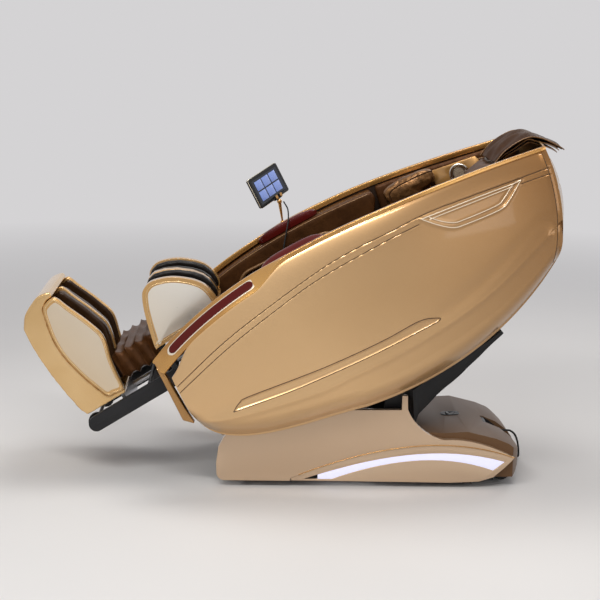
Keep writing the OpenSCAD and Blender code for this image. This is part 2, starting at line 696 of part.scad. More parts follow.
module head_pillow() {
    color(brown_leather) {
        back_frame_local() translate([560, 0, pillow_t + pad_crown + seat_gap])
            cushion(230, 150, pillow_t, 10, 2, 6);
        // Flap that folds over the top of the shell
        slab(-146, 146) polygon([[400, 1062], [440, 1112], [499, 1150], [545, 1154], [600, 1134],
            [634, 1114], [630, 1107], [598, 1124], [545, 1143], [508, 1139], [452, 1098], [424, 1056]]);
    }
}

// ---------------------------------------------------------------- massage carriage
roller_up = 36;
module massage_carriage() {
    color(steel) back_frame_local() translate([300, 0, -rail_d]) {
        translate([-70, -rail_in + 6, -9]) cube([140, 2*(rail_in - 6), 18]);
        // Guide shoes that run in the rails
        for (x = [-60, 36], y = [-1, 1]) translate([x, y > 0 ? rail_in - 8 : -rail_in - 12, -9.7])
            cube([24, 20, 19.4]);
        for (y = [-1, 1]) translate([-14, y*62 - 8, 8]) cube([28, 16, roller_up + 2]);
        rotate([90, 0, 0]) translate([0, roller_up, -72]) cylinder(r = 6, h = 144);
    }
}
module massage_rollers() {
    color(brown_leather) back_frame_local() translate([300, 0, -rail_d + roller_up]) both_sides()
        translate([0, 28, 0]) rotate([-90, 0, 0]) rotate_extrude()
            polygon([[6 + run_gap, 0], [18, 0], [24, 6], [24, 18], [18, 24], [6 + run_gap, 24]]);
}

// ---------------------------------------------------------------- leg rest
// x runs from the feet to the knee axis, z out of the calf wells
module leg_local() {
    translate([knee_axis[0], 0, knee_axis[1]]) rotate([0, -leg_slope, 0]) children();
}
leg_rail_y = [162, 186];
leg_rail_z = [-126, -76];
leg_end = [-509, -101];
arm_plate_y = [204, 212];
guide_x = [-300, -230];
guide_t = 10;
module leg_frame() {
    color(black_paint) leg_local() {
        both_sides() {
            slab(leg_rail_y[0], leg_rail_y[1]) {
                translate([leg_end[0], leg_rail_z[0]])
                    square([-leg_end[0] - 60, leg_rail_z[1] - leg_rail_z[0]]);
                translate(leg_end) circle(r = (leg_rail_z[1] - leg_rail_z[0])/2);
            }
            slab(arm_plate_y[0], arm_plate_y[1]) difference() {
                union() {
                    polygon([[-26, 4], [24, -8], [-60, leg_rail_z[0]], [-130, leg_rail_z[0]],
                        [-130, leg_rail_z[1]], [-74, leg_rail_z[1]]]);
                    circle(r = knee_r + 16);
                }
                circle(r = knee_r + run_gap);
            }
            // Cross tubes from the rails to the hinge plates
            for (x = [-112, -84]) translate([x - 12, leg_rail_y[1] - 1, leg_rail_z[0] + 8])
                cube([24, arm_plate_y[0] - leg_rail_y[1] + 2, 34]);
            // Stand-offs under the calf unit
            for (x = [-190, -95]) translate([x - 10, leg_rail_y[0], leg_rail_z[1] - 1])
                cube([20, 14, calf_z - leg_rail_z[1] + 1]);
        }
        // Guide plates with the bores of the slide rods
        for (x = guide_x) difference() {
            translate([x, -leg_rail_y[0] - 1, leg_rail_z[0] + 2]) cube([guide_t, 2*leg_rail_y[0] + 2, 46]);
            for (y = [-1, 1]) translate([x - 1, y*slide_y, slide_z]) rotate([0, 90, 0])
                cylinder(r = rod_r + run_gap, h = guide_t + 2);
        }
        rod_y(leg_end, axle_r, -leg_rail_y[1] - 1, leg_rail_y[1] + 1);
    }
}
module knee_shaft() {
    color(steel) rod_y(knee_axis, knee_r, -frame_y - 3, frame_y + 3);
}
calf_z = 16;
calf_outline = [[-205, calf_z], [-194, 68], [-172, 142], [-150, 192], [-132, 208], [-106, 215], [-70, 206],
    [-30, 186], [12, 152], [36, 122], [48, 92], [50, 58], [48, 42], [40, 30]];
divider_t = 20;
calf_floor_w = calf_half_w - 33 - seat_gap;
liner_t = (calf_half_w - 34 - divider_t - 92)/2;
module calf_flanks() {
    color(pearl_gold) leg_local() both_sides() puff(calf_outline, -calf_half_w, -calf_half_w + 33, 7);
}
module calf_divider() {
    color(pearl_gold) leg_local() union() {
        slab(-divider_t, divider_t) polygon([for (p = calf_outline) p*0.97 + [-3, 2]]);
        translate([-196, -calf_floor_w, calf_z]) cube([232, 2*calf_floor_w, 6]);
    }
}
calf_lining = [for (p = calf_outline) [mix(-78, p[0], 0.94), mix(120, p[1], 0.9)]];
module calf_pads() {
    color(black_leather) leg_local() both_sides() {
        puff(calf_lining, -calf_floor_w, -calf_floor_w + liner_t, 6);
        puff(calf_lining, -divider_t - liner_t, -divider_t - seat_gap, 6);
        // Bottom of the well
        puff([[-190, 22.3], [-190, 40], [-184, 46], [20, 46], [26, 40], [26, 22.3]],
            -calf_half_w + 36 + liner_t, -divider_t - liner_t - 2, 3);
    }
}
module rail_wheels() {
    color(rubber_black) leg_local() both_sides() roller(leg_end, rail_wheel_r, axle_r + run_gap, -158, -136);
}

// ---------------------------------------------------------------- foot unit
slide_y = 112;
slide_z = -101;
module sole_side() {
    polygon(concat([[-366, -59], [-516, -59], [-528, -30]],
        [for (i = [1:5]) bez([[-528, -30], [-548, 80], [-556, 200], [-541, 303]], i/5)],
        curve([[-520, 336], [-480, 372], [-420, 384], [-352, 366]], 8),
        [[-356, 350], [-400, 346], [-440, 330], [-464, 270], [-476, 207], [-476, 148], [-462, 70], [-440, 0],
            [-424, -40], [-366, -46]]));
}
sole_roller_at = [-487, 60];
module foot_housing() {
    color(rim_gold) leg_local() difference() {
        slab(-sole_half_w + 14, sole_half_w - 14) sole_side();
        // Recesses of the sole rollers
        both_sides() slab(well_y[0] + 8, well_y[1] - 8) hull() {
            translate(sole_roller_at) circle(r = 21);
            translate(sole_roller_at + [50, 0]) circle(r = 21);
        }
        rod_y(sole_roller_at, 5 + run_gap, -well_y[1] + 1, well_y[1] - 1);
    }
}
foot_outline = [[-366, -45.7], [-423.7, -39.7], [-439.6, 0], [-461.6, 70], [-475.6, 148], [-475.6, 207],
    [-463.6, 270], [-439.8, 329.6], [-400, 345.7], [-356, 349.7], [-340, 340], [-336, 300], [-344, 203],
    [-344, 143], [-350, 71], [-360, 6]];
well_y = [sole_half_w - 40 - well_w, sole_half_w - 40];
module foot_flanks() {
    color(pearl_gold) leg_local() both_sides() puff(foot_outline, -sole_half_w, -sole_half_w + 26, 6);
}
module foot_divider() {
    color(pearl_gold) leg_local() slab(-10, 10) polygon(foot_outline);
}
foot_lining = [for (p = foot_outline) [mix(-400, p[0], 0.94), mix(150, p[1], 0.95)]];
module foot_liner() {
    color(maroon) leg_local() both_sides() {
        puff(foot_lining, -sole_half_w + 26 + seat_gap, -well_y[1], 4);
        puff(foot_lining, -well_y[0], -10 - seat_gap, 6);
    }
}
module foot_slide() {
    color(steel) leg_local() {
        translate([-400, -128, leg_rail_z[0] + 4]) cube([12, 256, -59 - leg_rail_z[0] - 4]);
        both_sides() translate([-400, slide_y, slide_z]) rotate([0, 90, 0]) cylinder(r = rod_r, h = 282);
    }
}
module sole_rollers() {
    color(black_leather) leg_local() {
        rod_y(sole_roller_at, 5, -well_y[1] + 4, well_y[1] - 4);
        both_sides() slab(well_y[0] + 14, well_y[1] - 14) translate(sole_roller_at) circle(r = 17);
    }
}
// Pleated sleeve between the calf and foot units
pleats = 5;
module leg_bellows() {
    n = 2*pleats;
    color(brown_leather) leg_local() difference() {
        sweep([for (i = [0:n]) let (x = mix(-349.5, -202.8, i/n), g = i % 2 == 0 ? 0 : 9)
            [[x, -178 - g, -22 - g], [x, -178 - g, 64 + g], [x, 178 + g, 64 + g], [x, 178 + g, -22 - g]]]);
        translate([-400, -170, -14]) cube([300, 340, 70]);
    }
}

// ---------------------------------------------------------------- tablet on the far armrest
ball_at = [-264, shell_half_w - 60, 792];
clip_at = [-277, shell_half_w - 64, 868];
arm_tilt = 28;
stand_dir = unit(clip_at - ball_at);
ball_r = 8;
module tablet_clamp() {
    color(black_paint) translate(ball_at) rotate([0, -arm_tilt, 0]) {
        translate([0, 0, -14.8]) cylinder(r = 18, h = 4);
        translate([0, 0, -11]) cylinder(r1 = 10, r2 = 5, h = 2.7);
    }
}
module along(a, b) {
    d = b - a;
    translate(a) rotate([0, acos(d[2]/norm(d)), atan2(d[1], d[0])]) children();
}
module tablet_stand() {
    color(rim_gold) {
        translate(ball_at) sphere(r = ball_r);
        along(ball_at, clip_at) translate([0, 0, 5])
            cylinder(r1 = 3, r2 = 6, h = norm(clip_at - ball_at) - 13);
        along(ball_at, clip_at) translate([0, 0, norm(clip_at - ball_at)]) sphere(r = 9);
    }
}
tablet_foot = 15.3;
tablet_shift = 18;
// Width of the tablet along x, its face towards -y, its lower edge above the stand
module tablet_place() {
    translate(clip_at) rotate([0, -arm_tilt, 0]) rotate([0, 0, tablet_turn])
        translate([-tablet_shift, 0, tablet_foot]) children();
}
module rounded_plate(w, h, t, r) {
    rotate([90, 0, 0]) translate([0, h/2, -t/2]) linear_extrude(t) union() {
        square([w - 2*r, h], center = true);
        square([w, h - 2*r], center = true);
        for (x = [-1, 1], y = [-1, 1]) translate([x*(w/2 - r), y*(h/2 - r)]) circle(r = r);
    }
}
bezel = 11;
module tablet_case() {
    color(black_paint) tablet_place() difference() {
        union() {
            rounded_plate(tablet_w, tablet_h, tablet_t, 7);
            // Socket and the two clips that grip the lower edge
            for (x = [-1, 1]) translate([tablet_shift + 13*x - 5, -tablet_t/2 - 3, -4])
                cube([10, tablet_t + 6, 14]);
            translate([tablet_shift - 18, -6, -6]) cube([36, 12, 5]);
        }
        translate([0, -tablet_t/2 - 0.6, 0]) translate([-tablet_w/2 + bezel, -2, bezel])
            cube([tablet_w - 2*bezel, 4.6, tablet_h - 2*bezel]);
    }
}
module tablet_screen() {
    color(led_white) tablet_place() translate([-tablet_w/2 + bezel, -tablet_t/2 + 0.4, bezel])
        cube([tablet_w - 2*bezel, 1.6, tablet_h - 2*bezel]);
}
cable_d = 5;
cable_route = [[-262, 318, 868], [-259, 312, 863], [-248, 290, 845], [-246, 268, 812], [-252, 252, 772],
    [-258, 246, 735], [-261, 244, 713], [-261, 247, 703], [-261, 250, 700], [-261, 253, 700],
    [-261, 256, 700]];
module tablet_cable() {
    color(rubber_black) tube(softened(cable_route, 2), cable_d, 8);
}

base_chassis();
rubber_feet();
lower_panels();
led_strips();
rear_deck();
inlet_socket();
power_switch();
wheel_axle();
transport_wheels();
pivot_shaft();
tilt_boot();
actuator_tube();
actuator_rod();
inlet_connector();
mains_cord();
mains_coil();
mains_plug();
body_frame();
guide_rails();
rim_trims();
inset_strips();
front_caps();
arm_plates();
speaker_pods();
speaker_rings();
speaker_grilles();
back_shell();
seat_cushion();
back_pad();
head_pillow();
massage_carriage();
massage_rollers();
leg_frame();
knee_shaft();
calf_flanks();
calf_divider();
calf_pads();
rail_wheels();
foot_housing();
foot_flanks();
foot_divider();
foot_liner();
foot_slide();
sole_rollers();
leg_bellows();
tablet_clamp();
tablet_stand();
tablet_case();
tablet_screen();
tablet_cable();
base_cover();  // base_cover_left
mirror([0, 1, 0]) base_cover();  // base_cover_right
side_panel();  // side_panel_left
mirror([0, 1, 0]) side_panel();  // side_panel_right
armrest();  // armrest_left
mirror([0, 1, 0]) armrest();  // armrest_right
side_liner();  // side_liner_left
mirror([0, 1, 0]) side_liner();  // side_liner_right
shoulder_airbag();  // shoulder_airbag_left
mirror([0, 1, 0]) shoulder_airbag();  // shoulder_airbag_right
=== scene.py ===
"""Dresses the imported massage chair: paint, leather, seams, cords, lights and camera. Metres throughout."""
import math

import bpy
from mathutils import Matrix, Vector, noise
from mathutils.bvhtree import BVHTree


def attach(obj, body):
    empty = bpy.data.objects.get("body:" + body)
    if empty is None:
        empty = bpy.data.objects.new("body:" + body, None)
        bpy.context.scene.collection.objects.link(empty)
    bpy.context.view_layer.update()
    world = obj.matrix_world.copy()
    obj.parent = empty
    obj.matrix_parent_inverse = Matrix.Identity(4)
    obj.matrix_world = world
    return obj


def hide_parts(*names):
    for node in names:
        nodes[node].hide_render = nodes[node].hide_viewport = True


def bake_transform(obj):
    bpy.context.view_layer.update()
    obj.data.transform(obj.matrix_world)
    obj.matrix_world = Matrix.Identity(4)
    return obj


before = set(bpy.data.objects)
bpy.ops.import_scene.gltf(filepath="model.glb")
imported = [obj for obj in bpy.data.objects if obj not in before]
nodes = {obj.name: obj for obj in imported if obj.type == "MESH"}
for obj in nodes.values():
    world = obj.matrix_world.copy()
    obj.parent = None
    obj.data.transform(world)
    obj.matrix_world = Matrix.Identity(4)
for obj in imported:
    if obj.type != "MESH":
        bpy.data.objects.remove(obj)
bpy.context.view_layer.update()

MM = 0.001
WELD = 1e-5
SIDES = (("left", 1), ("right", -1))

# ---------------------------------------------------------------- camera
EYE = Vector((-0.4156, -4.850, 1.5089))
LENS, SENSOR = 87.75, 36.0
HEADING, PITCH, ROLL = math.radians(2.43), math.radians(10.90), math.radians(1.2825)


def add_camera():
    ahead = Vector((math.sin(HEADING) * math.cos(PITCH), math.cos(HEADING) * math.cos(PITCH), -math.sin(PITCH)))
    right = Vector((math.cos(HEADING), -math.sin(HEADING), 0.0))
    up = right.cross(ahead)
    right, up = right * math.cos(ROLL) + up * math.sin(ROLL), up * math.cos(ROLL) - right * math.sin(ROLL)
    lens = bpy.data.cameras.new("viewpoint")
    lens.sensor_width = SENSOR
    lens.lens = LENS
    camera = bpy.data.objects.new("viewpoint", lens)
    bpy.context.scene.collection.objects.link(camera)
    turn = Matrix((right, up, -ahead)).transposed().to_4x4()
    camera.matrix_world = Matrix.Translation(EYE) @ turn
    bpy.context.scene.camera = camera


add_camera()


# ---------------------------------------------------------------- modelling helpers
def deselect():
    bpy.ops.object.select_all(action="DESELECT")


def only(piece):
    deselect()
    piece.select_set(True)
    bpy.context.view_layer.objects.active = piece


def settle(piece):
    """Puts the piece's place into its mesh, so its object sits unturned at the origin."""
    only(piece)
    bpy.ops.object.transform_apply(location=True, rotation=True, scale=True)
    return piece


def edit(piece, *steps):
    """Runs edit-mode operators on the whole of a piece."""
    only(piece)
    bpy.ops.object.mode_set(mode="EDIT")
    bpy.ops.mesh.select_all(action="SELECT")
    for step in steps:
        step()
    bpy.ops.object.mode_set(mode="OBJECT")
    return piece


def outward():
    bpy.ops.mesh.normals_make_consistent(inside=False)


def modify(piece, kind, **settings):
    """Adds a modifier with these settings and applies it."""
    only(piece)
    added = piece.modifiers.new(kind.lower(), kind)
    for key, value in settings.items():
        setattr(added, key, value)
    bpy.ops.object.modifier_apply(modifier=added.name)
    return piece


def smooth(piece, angle=40):
    only(piece)
    bpy.ops.object.shade_smooth_by_angle(angle=math.radians(angle))
    return piece


def rounded(piece, width, segments=3, angle=35):
    modify(piece, "BEVEL", width=width, segments=segments, limit_method="ANGLE", angle_limit=math.radians(angle),
           use_clamp_overlap=True)
    return smooth(piece, 45)


def loft(name, loops, closed=True, capped=True, angle=45):
    """Skin over loops of points: a grid whose rows are moved onto the loops, welded shut where it closes."""
    rows, cols = len(loops) - 1, len(loops[0]) - (0 if closed else 1)
    deselect()
    bpy.ops.mesh.primitive_grid_add(x_subdivisions=cols, y_subdivisions=rows, size=2)
    piece = bpy.context.object
    piece.name = name
    count = len(loops[0])
    for v in piece.data.vertices:
        i, j = round((v.co.y + 1) / 2 * rows), round((v.co.x + 1) / 2 * cols)
        v.co = loops[i][j % count]
    steps = []
    if closed:
        steps.append(lambda: bpy.ops.mesh.remove_doubles(threshold=WELD))
    if closed and capped:
        steps.append(lambda: bpy.ops.mesh.fill_holes(sides=0))
    edit(piece, *steps, outward)
    return smooth(piece, angle)


def plate(name, outline, y0, y1):
    """Flat piece cut to an outline in the side view, from y0 to y1 across."""
    deselect()
    bpy.ops.mesh.primitive_circle_add(vertices=len(outline), radius=1, fill_type="NGON")
    piece = bpy.context.object
    piece.name = name
    for v, (x, z) in zip(piece.data.vertices, outline):
        v.co = Vector((x, y0, z))
    edit(piece, lambda: bpy.ops.mesh.extrude_region_move(TRANSFORM_OT_translate={"value": (0, y1 - y0, 0)}))
    return edit(piece, outward)


def round_line(name, points, radius, sides, closed=False):
    """Curve of round section along a run of points."""
    run = bpy.data.curves.new(name, "CURVE")
    run.dimensions = "3D"
    run.bevel_depth = radius
    run.bevel_resolution = sides
    run.use_fill_caps = True
    spline = run.splines.new("POLY")
    spline.points.add(len(points) - 1)
    for knot, p in zip(spline.points, points):
        knot.co = (*p, 1)
    spline.use_cyclic_u = closed
    piece = bpy.data.objects.new(name, run)
    bpy.context.scene.collection.objects.link(piece)
    return piece


def tube(name, points, radius, closed=False, sides=3):
    """Round piping or bead along a run of points, as a mesh."""
    only(round_line(name, points, radius, sides, closed))
    bpy.ops.object.convert(target="MESH")
    return smooth(bpy.context.object, 60)


def block(name, size, middle):
    """Plain block from its size and middle in millimetres."""
    deselect()
    bpy.ops.mesh.primitive_cube_add(size=1)
    piece = bpy.context.object
    piece.name = name
    piece.scale = [c * MM for c in size]
    piece.location = [c * MM for c in middle]
    return settle(piece)


def joined(name, pieces):
    deselect()
    for piece in pieces:
        piece.select_set(True)
    bpy.context.view_layer.objects.active = pieces[0]
    bpy.ops.object.join()
    piece = bpy.context.object
    piece.name = name
    return piece


def copied(name, cad):
    """A welded copy of a CAD node, to be given rounder edges or a softer form."""
    piece = nodes[cad].copy()
    piece.data = nodes[cad].data.copy()
    for key in list(piece.keys()):
        del piece[key]
    piece.parent = None
    piece.hide_render = False
    bpy.context.scene.collection.objects.link(piece)
    piece.name = name
    return edit(piece, lambda: bpy.ops.mesh.remove_doubles(threshold=WELD), outward)


def eased(name, cad, edge, segments, angle, finish, body):
    """The CAD node with its edges eased, as moulded or painted parts have."""
    piece = copied(name, cad)
    edit(piece, lambda: bpy.ops.mesh.dissolve_limited(angle_limit=math.radians(1.5)))
    rounded(piece, edge * MM, segments, angle)
    return dress(piece, finish, body, [cad])


def bez(p, t):
    u = 1 - t
    return tuple(u**3 * p[0][k] + 3 * u * u * t * p[1][k] + 3 * u * t * t * p[2][k] + t**3 * p[3][k] for k in (0, 1))


def mix(a, b, t):
    return a + (b - a) * t


def between(a, b, t):
    """Point of the side view part of the way from a to b."""
    return mix(a[0], b[0], t), mix(a[1], b[1], t)


def heading(a, b):
    """Unit direction from a to b in the side view."""
    dx, dz = b[0] - a[0], b[1] - a[1]
    d = math.hypot(dx, dz)
    return dx / d, dz / d


def at(x, y, z):
    """Point in metres from its millimetres."""
    return Vector((x * MM, y * MM, z * MM))


def metres(points):
    return [tuple(c * MM for c in p) for p in points]


def ease(t):
    t = max(0.0, min(1.0, t))
    return t * t * (3 - 2 * t)


def spline_span(p0, p1, p2, p3, steps):
    """The smooth curve through four points, from the second up to the third."""
    return [tuple(0.5 * (2 * b + (c - a) * t + (2 * a - 5 * b + 4 * c - d) * t * t
                         + (3 * b - a - 3 * c + d) * t**3) for a, b, c, d in zip(p0, p1, p2, p3))
            for t in (k / steps for k in range(steps))]


def smooth_run(points, steps=4):
    """Open smooth curve through points of any dimension."""
    last = len(points) - 1
    out = []
    for i in range(last):
        out += spline_span(points[max(i - 1, 0)], points[i], points[i + 1], points[min(i + 2, last)], steps)
    return out + [tuple(points[last])]


def ring_run(points, steps=4):
    """Closed smooth curve through points."""
    n = len(points)
    out = []
    for i in range(n):
        out += spline_span(points[i - 1], points[i], points[(i + 1) % n], points[(i + 2) % n], steps)
    return out


def skin_tree(piece):
    mesh = piece.data
    return BVHTree.FromPolygons([v.co.copy() for v in mesh.vertices], [tuple(f.vertices) for f in mesh.polygons])


# ---------------------------------------------------------------- finishes
class Value:
    """A shader socket that takes part in arithmetic."""

    def __init__(self, finish, socket):
        self.finish, self.socket = finish, socket

    def _math(self, operation, *terms):
        return self.finish.node("ShaderNodeMath", {"operation": operation}, terms)

    def __add__(self, other):
        return self._math("ADD", self, other)

    __radd__ = __add__

    def __mul__(self, other):
        return self._math("MULTIPLY", self, other)

    __rmul__ = __mul__

    def __sub__(self, other):
        return self._math("SUBTRACT", self, other)

    def __rsub__(self, other):
        return self._math("SUBTRACT", other, self)

    def __pow__(self, other):
        return self._math("POWER", self, other)

    def clamped(self):
        return self.finish.node("ShaderNodeClamp", {}, [self])


class Nodes:
    """A shader's node tree. Every node comes from its one method."""

    def __init__(self, tree):
        self.tree = tree

    def node(self, kind, settings, values=(), output=0):
        """Makes a node from its settings and its sockets' values or links, and gives the named output."""
        made = self.tree.nodes.new(kind)
        for key, value in settings.items():
            setattr(made, key, value)
        for key, value in values.items() if isinstance(values, dict) else enumerate(values):
            if isinstance(value, Value):
                self.tree.links.new(value.socket, made.inputs[key])
            else:
                made.inputs[key].default_value = value
        return Value(self, made.outputs[output]) if len(made.outputs) else None

    def ray(self, name):
        return self.node("ShaderNodeLightPath", {}, (), name)

    def most(self, *shares):
        return self.node("ShaderNodeMath", {"operation": "MAXIMUM"}, shares)


class Finish(Nodes):
    """One material: a Principled surface and the nodes that feed it."""

    def __init__(self, name, color, roughness=0.5, metallic=0.0, coat=0.0, coat_roughness=0.05, glow=0.0):
        self.material = bpy.data.materials.new(name)
        self.material.use_nodes = True
        super().__init__(self.material.node_tree)
        self.surface = self.tree.nodes["Principled BSDF"]
        self.set("Base Color", (*color, 1))
        self.set("Roughness", roughness)
        self.set("Metallic", metallic)
        self.set("Coat Weight", coat)
        self.set("Coat Roughness", coat_roughness)
        if glow:
            self.set("Emission Color", (*color, 1))
            self.set("Emission Strength", glow)
        self.material.diffuse_color = (*color, 1)

    def set(self, socket, value):
        self.surface.inputs[socket].default_value = value

    def place(self, scale=(1, 1, 1)):
        spot = self.node("ShaderNodeTexCoord", {}, (), "Object")
        return self.node("ShaderNodeMapping", {}, {"Vector": spot, "Scale": scale})

    def axis(self, name):
        spot = self.node("ShaderNodeTexCoord", {}, (), "Object")
        return self.node("ShaderNodeSeparateXYZ", {}, [spot], name)

    def grain(self, scale, detail=2.0, roughness=0.5, stretch=(1, 1, 1), distortion=0.0):
        return self.node("ShaderNodeTexNoise", {}, {"Vector": self.place(stretch), "Scale": scale, "Detail": detail,
                                                    "Roughness": roughness, "Distortion": distortion})

    def cells(self, scale):
        return self.node("ShaderNodeTexVoronoi", {"feature": "F1"}, {"Vector": self.place(), "Scale": scale},
                         "Distance")

    def ramp(self, value, low, high):
        return self.node("ShaderNodeMapRange", {}, {"Value": value, "From Min": low, "From Max": high})

    def blend(self, share, a, b):
        """Colour part of the way from a to b."""
        a, b = (c if isinstance(c, Value) else (*c, 1) for c in (a, b))
        return self.node("ShaderNodeMix", {"data_type": "RGBA"}, {0: share, 6: a, 7: b}, 2)

    def watched(self, share):
        """Lets a share count only where the camera or a reflection looks."""
        return share * self.most(self.ray("Is Camera Ray"), self.ray("Is Glossy Ray"))

    def feed(self, socket, value):
        self.tree.links.new(value.socket, self.surface.inputs[socket])

    def bump(self, height, distance, strength=1.0):
        relief = self.node("ShaderNodeBump", {}, {"Height": height, "Distance": distance, "Strength": strength})
        self.feed("Normal", relief)


def pearl(name, light, deep, along=(0.62, 0.70, -0.05), coat=0.85):
    """Metallic pearl paint that deepens towards the head end along a slope, as painted shade, with a fine flake."""
    finish = Finish(name, light, 0.34, 0.60, coat, 0.05)
    finish.set("Specular IOR Level", 0.3)
    # painted shade: the colour deepens along this slope through the object's X and Z; the cloud on top is the paint's
    # own uneven tone
    drift = finish.axis("X") * along[0] + finish.axis("Z") * along[1] + along[2]
    cloud = finish.grain(1.6, 3.0) - 0.5
    share = (drift + cloud * 0.25).clamped()
    flake = finish.grain(1500, 1.0)
    tone = finish.blend(share, light, deep)
    finish.feed("Base Color", finish.blend((flake - 0.45) * 0.20, tone, (0.98, 0.88, 0.72)))
    finish.feed("Roughness", flake * 0.10 + finish.grain(7.0, 4.0) * 0.06 + 0.24)
    finish.bump(flake, 0.00004, 0.25)
    return finish.material


def leather(name, light, dark, sheen=0.18, pores=520, wrinkle=0.0007, coat=0.12, gloss=0.3, rough=0.27):
    """Synthetic leather: pebbled grain, soft wrinkles that are lighter on their crests and darker in their troughs, and
    a satin sheen.
    """
    finish = Finish(name, light, 0.42, 0.0, coat, 0.25)
    finish.set("Metallic", sheen)
    finish.set("Specular IOR Level", gloss)
    cell = finish.cells(pores)
    crease = finish.grain(26, 5.0, 0.6, (1, 1.4, 1), 0.8)
    patch = finish.grain(5.5, 3.0)
    share = finish.ramp(patch * 0.35 + crease * 0.65, 0.22, 0.78)
    tone = finish.blend(share, dark, light)
    finish.feed("Base Color", finish.blend(finish.ramp(cell, 0.25, 0.75) * 0.30, tone, dark))
    finish.feed("Roughness", crease * 0.16 + cell * 0.12 + rough)
    finish.bump(cell * 0.00016 + crease * wrinkle, 1.0, 1.0)
    return finish.material


def lacquer(name, color, roughness=0.12, metallic=0.0, coat=1.0, drift=0.25):
    finish = Finish(name, color, roughness, metallic, coat, 0.03)
    finish.set("Specular IOR Level", 0.14)
    cloud = finish.grain(9.0, 3.0)
    deep = tuple(c * (1 - drift) for c in color)
    finish.feed("Base Color", finish.blend(cloud, deep, color))
    finish.feed("Roughness", cloud * 0.08 + roughness)
    finish.bump(finish.grain(160, 2.0), 0.00005, 0.3)
    return finish.material


def gilded(name, color, deep):
    """Satin gold lacquer over metal."""
    finish = Finish(name, color, 0.24, 0.75, 0.6, 0.05)
    cloud = finish.grain(5.0, 3.0)
    finish.feed("Base Color", finish.blend(finish.ramp(cloud, 0.3, 0.7), deep, color))
    finish.feed("Roughness", finish.grain(900, 1.0) * 0.08 + cloud * 0.08 + 0.16)
    finish.bump(finish.grain(700, 1.0), 0.00003, 0.3)
    return finish.material


def powder(name, color, roughness=0.5):
    """Powder coat or moulded plastic with a fine orange-peel texture."""
    finish = Finish(name, color, roughness, 0.0, 0.0, 0.3)
    finish.set("Specular IOR Level", 0.3)
    speck = finish.grain(950, 2.0)
    finish.feed("Base Color", finish.blend(finish.grain(12, 3.0), color, tuple(c * 1.6 + 0.006 for c in color)))
    finish.feed("Roughness", speck * 0.18 + roughness - 0.08)
    finish.bump(speck, 0.00012, 0.5)
    return finish.material


def metal(name, color, roughness, stretch=(1, 1, 1)):
    finish = Finish(name, color, roughness, 1.0)
    brushed = finish.grain(420, 3.0, 0.6, stretch)
    finish.feed("Base Color", finish.blend(brushed, tuple(c * 0.82 for c in color), color))
    finish.feed("Roughness", brushed * 0.14 + roughness - 0.05)
    finish.bump(brushed, 0.00003, 0.4)
    return finish.material


def lamp_diffuser(name, color, glow, light=(0.86, 0.84, 1.0)):
    finish = Finish(name, color, 0.3, 0.0, 0.5, 0.1, glow)
    finish.set("Emission Color", (*light, 1))
    finish.feed("Base Color", finish.blend(finish.grain(60, 2.0), color, tuple(c * 0.93 for c in color)))
    return finish.material


# each pearl paint deepens from its light to its deep colour along a slope across the object: painted shade
SHELL_PAINT = pearl("champagne_pearl", (0.66, 0.42, 0.20), (0.25, 0.108, 0.020), (0.78, 0.70, -0.17), 0.6)
BACK_PAINT = pearl("back_pearl", (0.60, 0.38, 0.18), (0.44, 0.25, 0.09), (0.5, 0.5, 0.0), 0.6)
COVER_PAINT = pearl("beige_pearl", (0.62, 0.45, 0.30), (0.50, 0.34, 0.21), (0.1, 1.6, 0.10))
IVORY_PAINT = pearl("ivory_pearl", (0.84, 0.80, 0.72), (0.62, 0.45, 0.25), (-1.1, -1.4, 0.25), 0.8)
CAP_PAINT = pearl("cap_pearl", (0.60, 0.35, 0.12), (0.42, 0.21, 0.055), (0.3, 0.9, -0.2))
DECK_PAINT = lacquer("deck_brown", (0.150, 0.080, 0.038), 0.34, 0.0, 0.05)
RIM_GOLD = gilded("rim_gold", (0.66, 0.36, 0.10), (0.44, 0.21, 0.05))
SOLE_GOLD = gilded("sole_gold", (0.80, 0.55, 0.27), (0.66, 0.42, 0.17))
# painted shade: a darker copy of the rim gold for the front caps, whose end faces lie in shade
SHADED_FRONT_GOLD = gilded("front_gold_painted_shade", (0.50, 0.27, 0.085), (0.33, 0.165, 0.045))
EDGE_GOLD = gilded("edge_gold", (0.86, 0.66, 0.38), (0.74, 0.52, 0.26))
MAROON = lacquer("maroon_gloss", (0.100, 0.008, 0.006), 0.22, 0.0, 0.06)
AMBER = leather("amber_hide", (0.060, 0.025, 0.007), (0.014, 0.006, 0.002), 0.15, 620, 0.0006, 0.30, 0.15)
BROWN = leather("brown_leather", (0.125, 0.050, 0.015), (0.034, 0.012, 0.004), 0.38, coat=0.05, gloss=0.12)
FLAP_HIDE = leather("flap_leather", (0.075, 0.032, 0.012), (0.022, 0.009, 0.004), 0.10, coat=0.0, gloss=0.06,
                    rough=0.38)
TAN = leather("tan_leather", (0.360, 0.175, 0.060), (0.060, 0.026, 0.009), 0.80, wrinkle=0.0020, coat=0.20, rough=0.16)
BLACK_HIDE = leather("black_leather", (0.014, 0.010, 0.008), (0.005, 0.003, 0.002), 0.0, coat=0.22, gloss=0.12)
BLACK_CLOTH = leather("black_boot", (0.010, 0.010, 0.011), (0.005, 0.005, 0.006), 0.0, 900, 0.0004, 0.0)
BLACK_STEEL = powder("black_powder_coat", (0.009, 0.009, 0.010), 0.42)
BLACK_PLASTIC = powder("black_plastic", (0.010, 0.010, 0.011), 0.30)
BLACK_GLOSS = lacquer("black_gloss", (0.008, 0.008, 0.009), 0.25, 0.0, 0.06)
RUBBER = powder("black_rubber", (0.010, 0.010, 0.010), 0.62)
STEEL = metal("ground_steel", (0.58, 0.58, 0.60), 0.30, (1, 30, 1))
CHROME = metal("chrome_ring", (0.84, 0.80, 0.72), 0.08)
LED = lamp_diffuser("led_diffuser", (0.50, 0.50, 0.60), 0.60, (0.80, 0.80, 1.0))
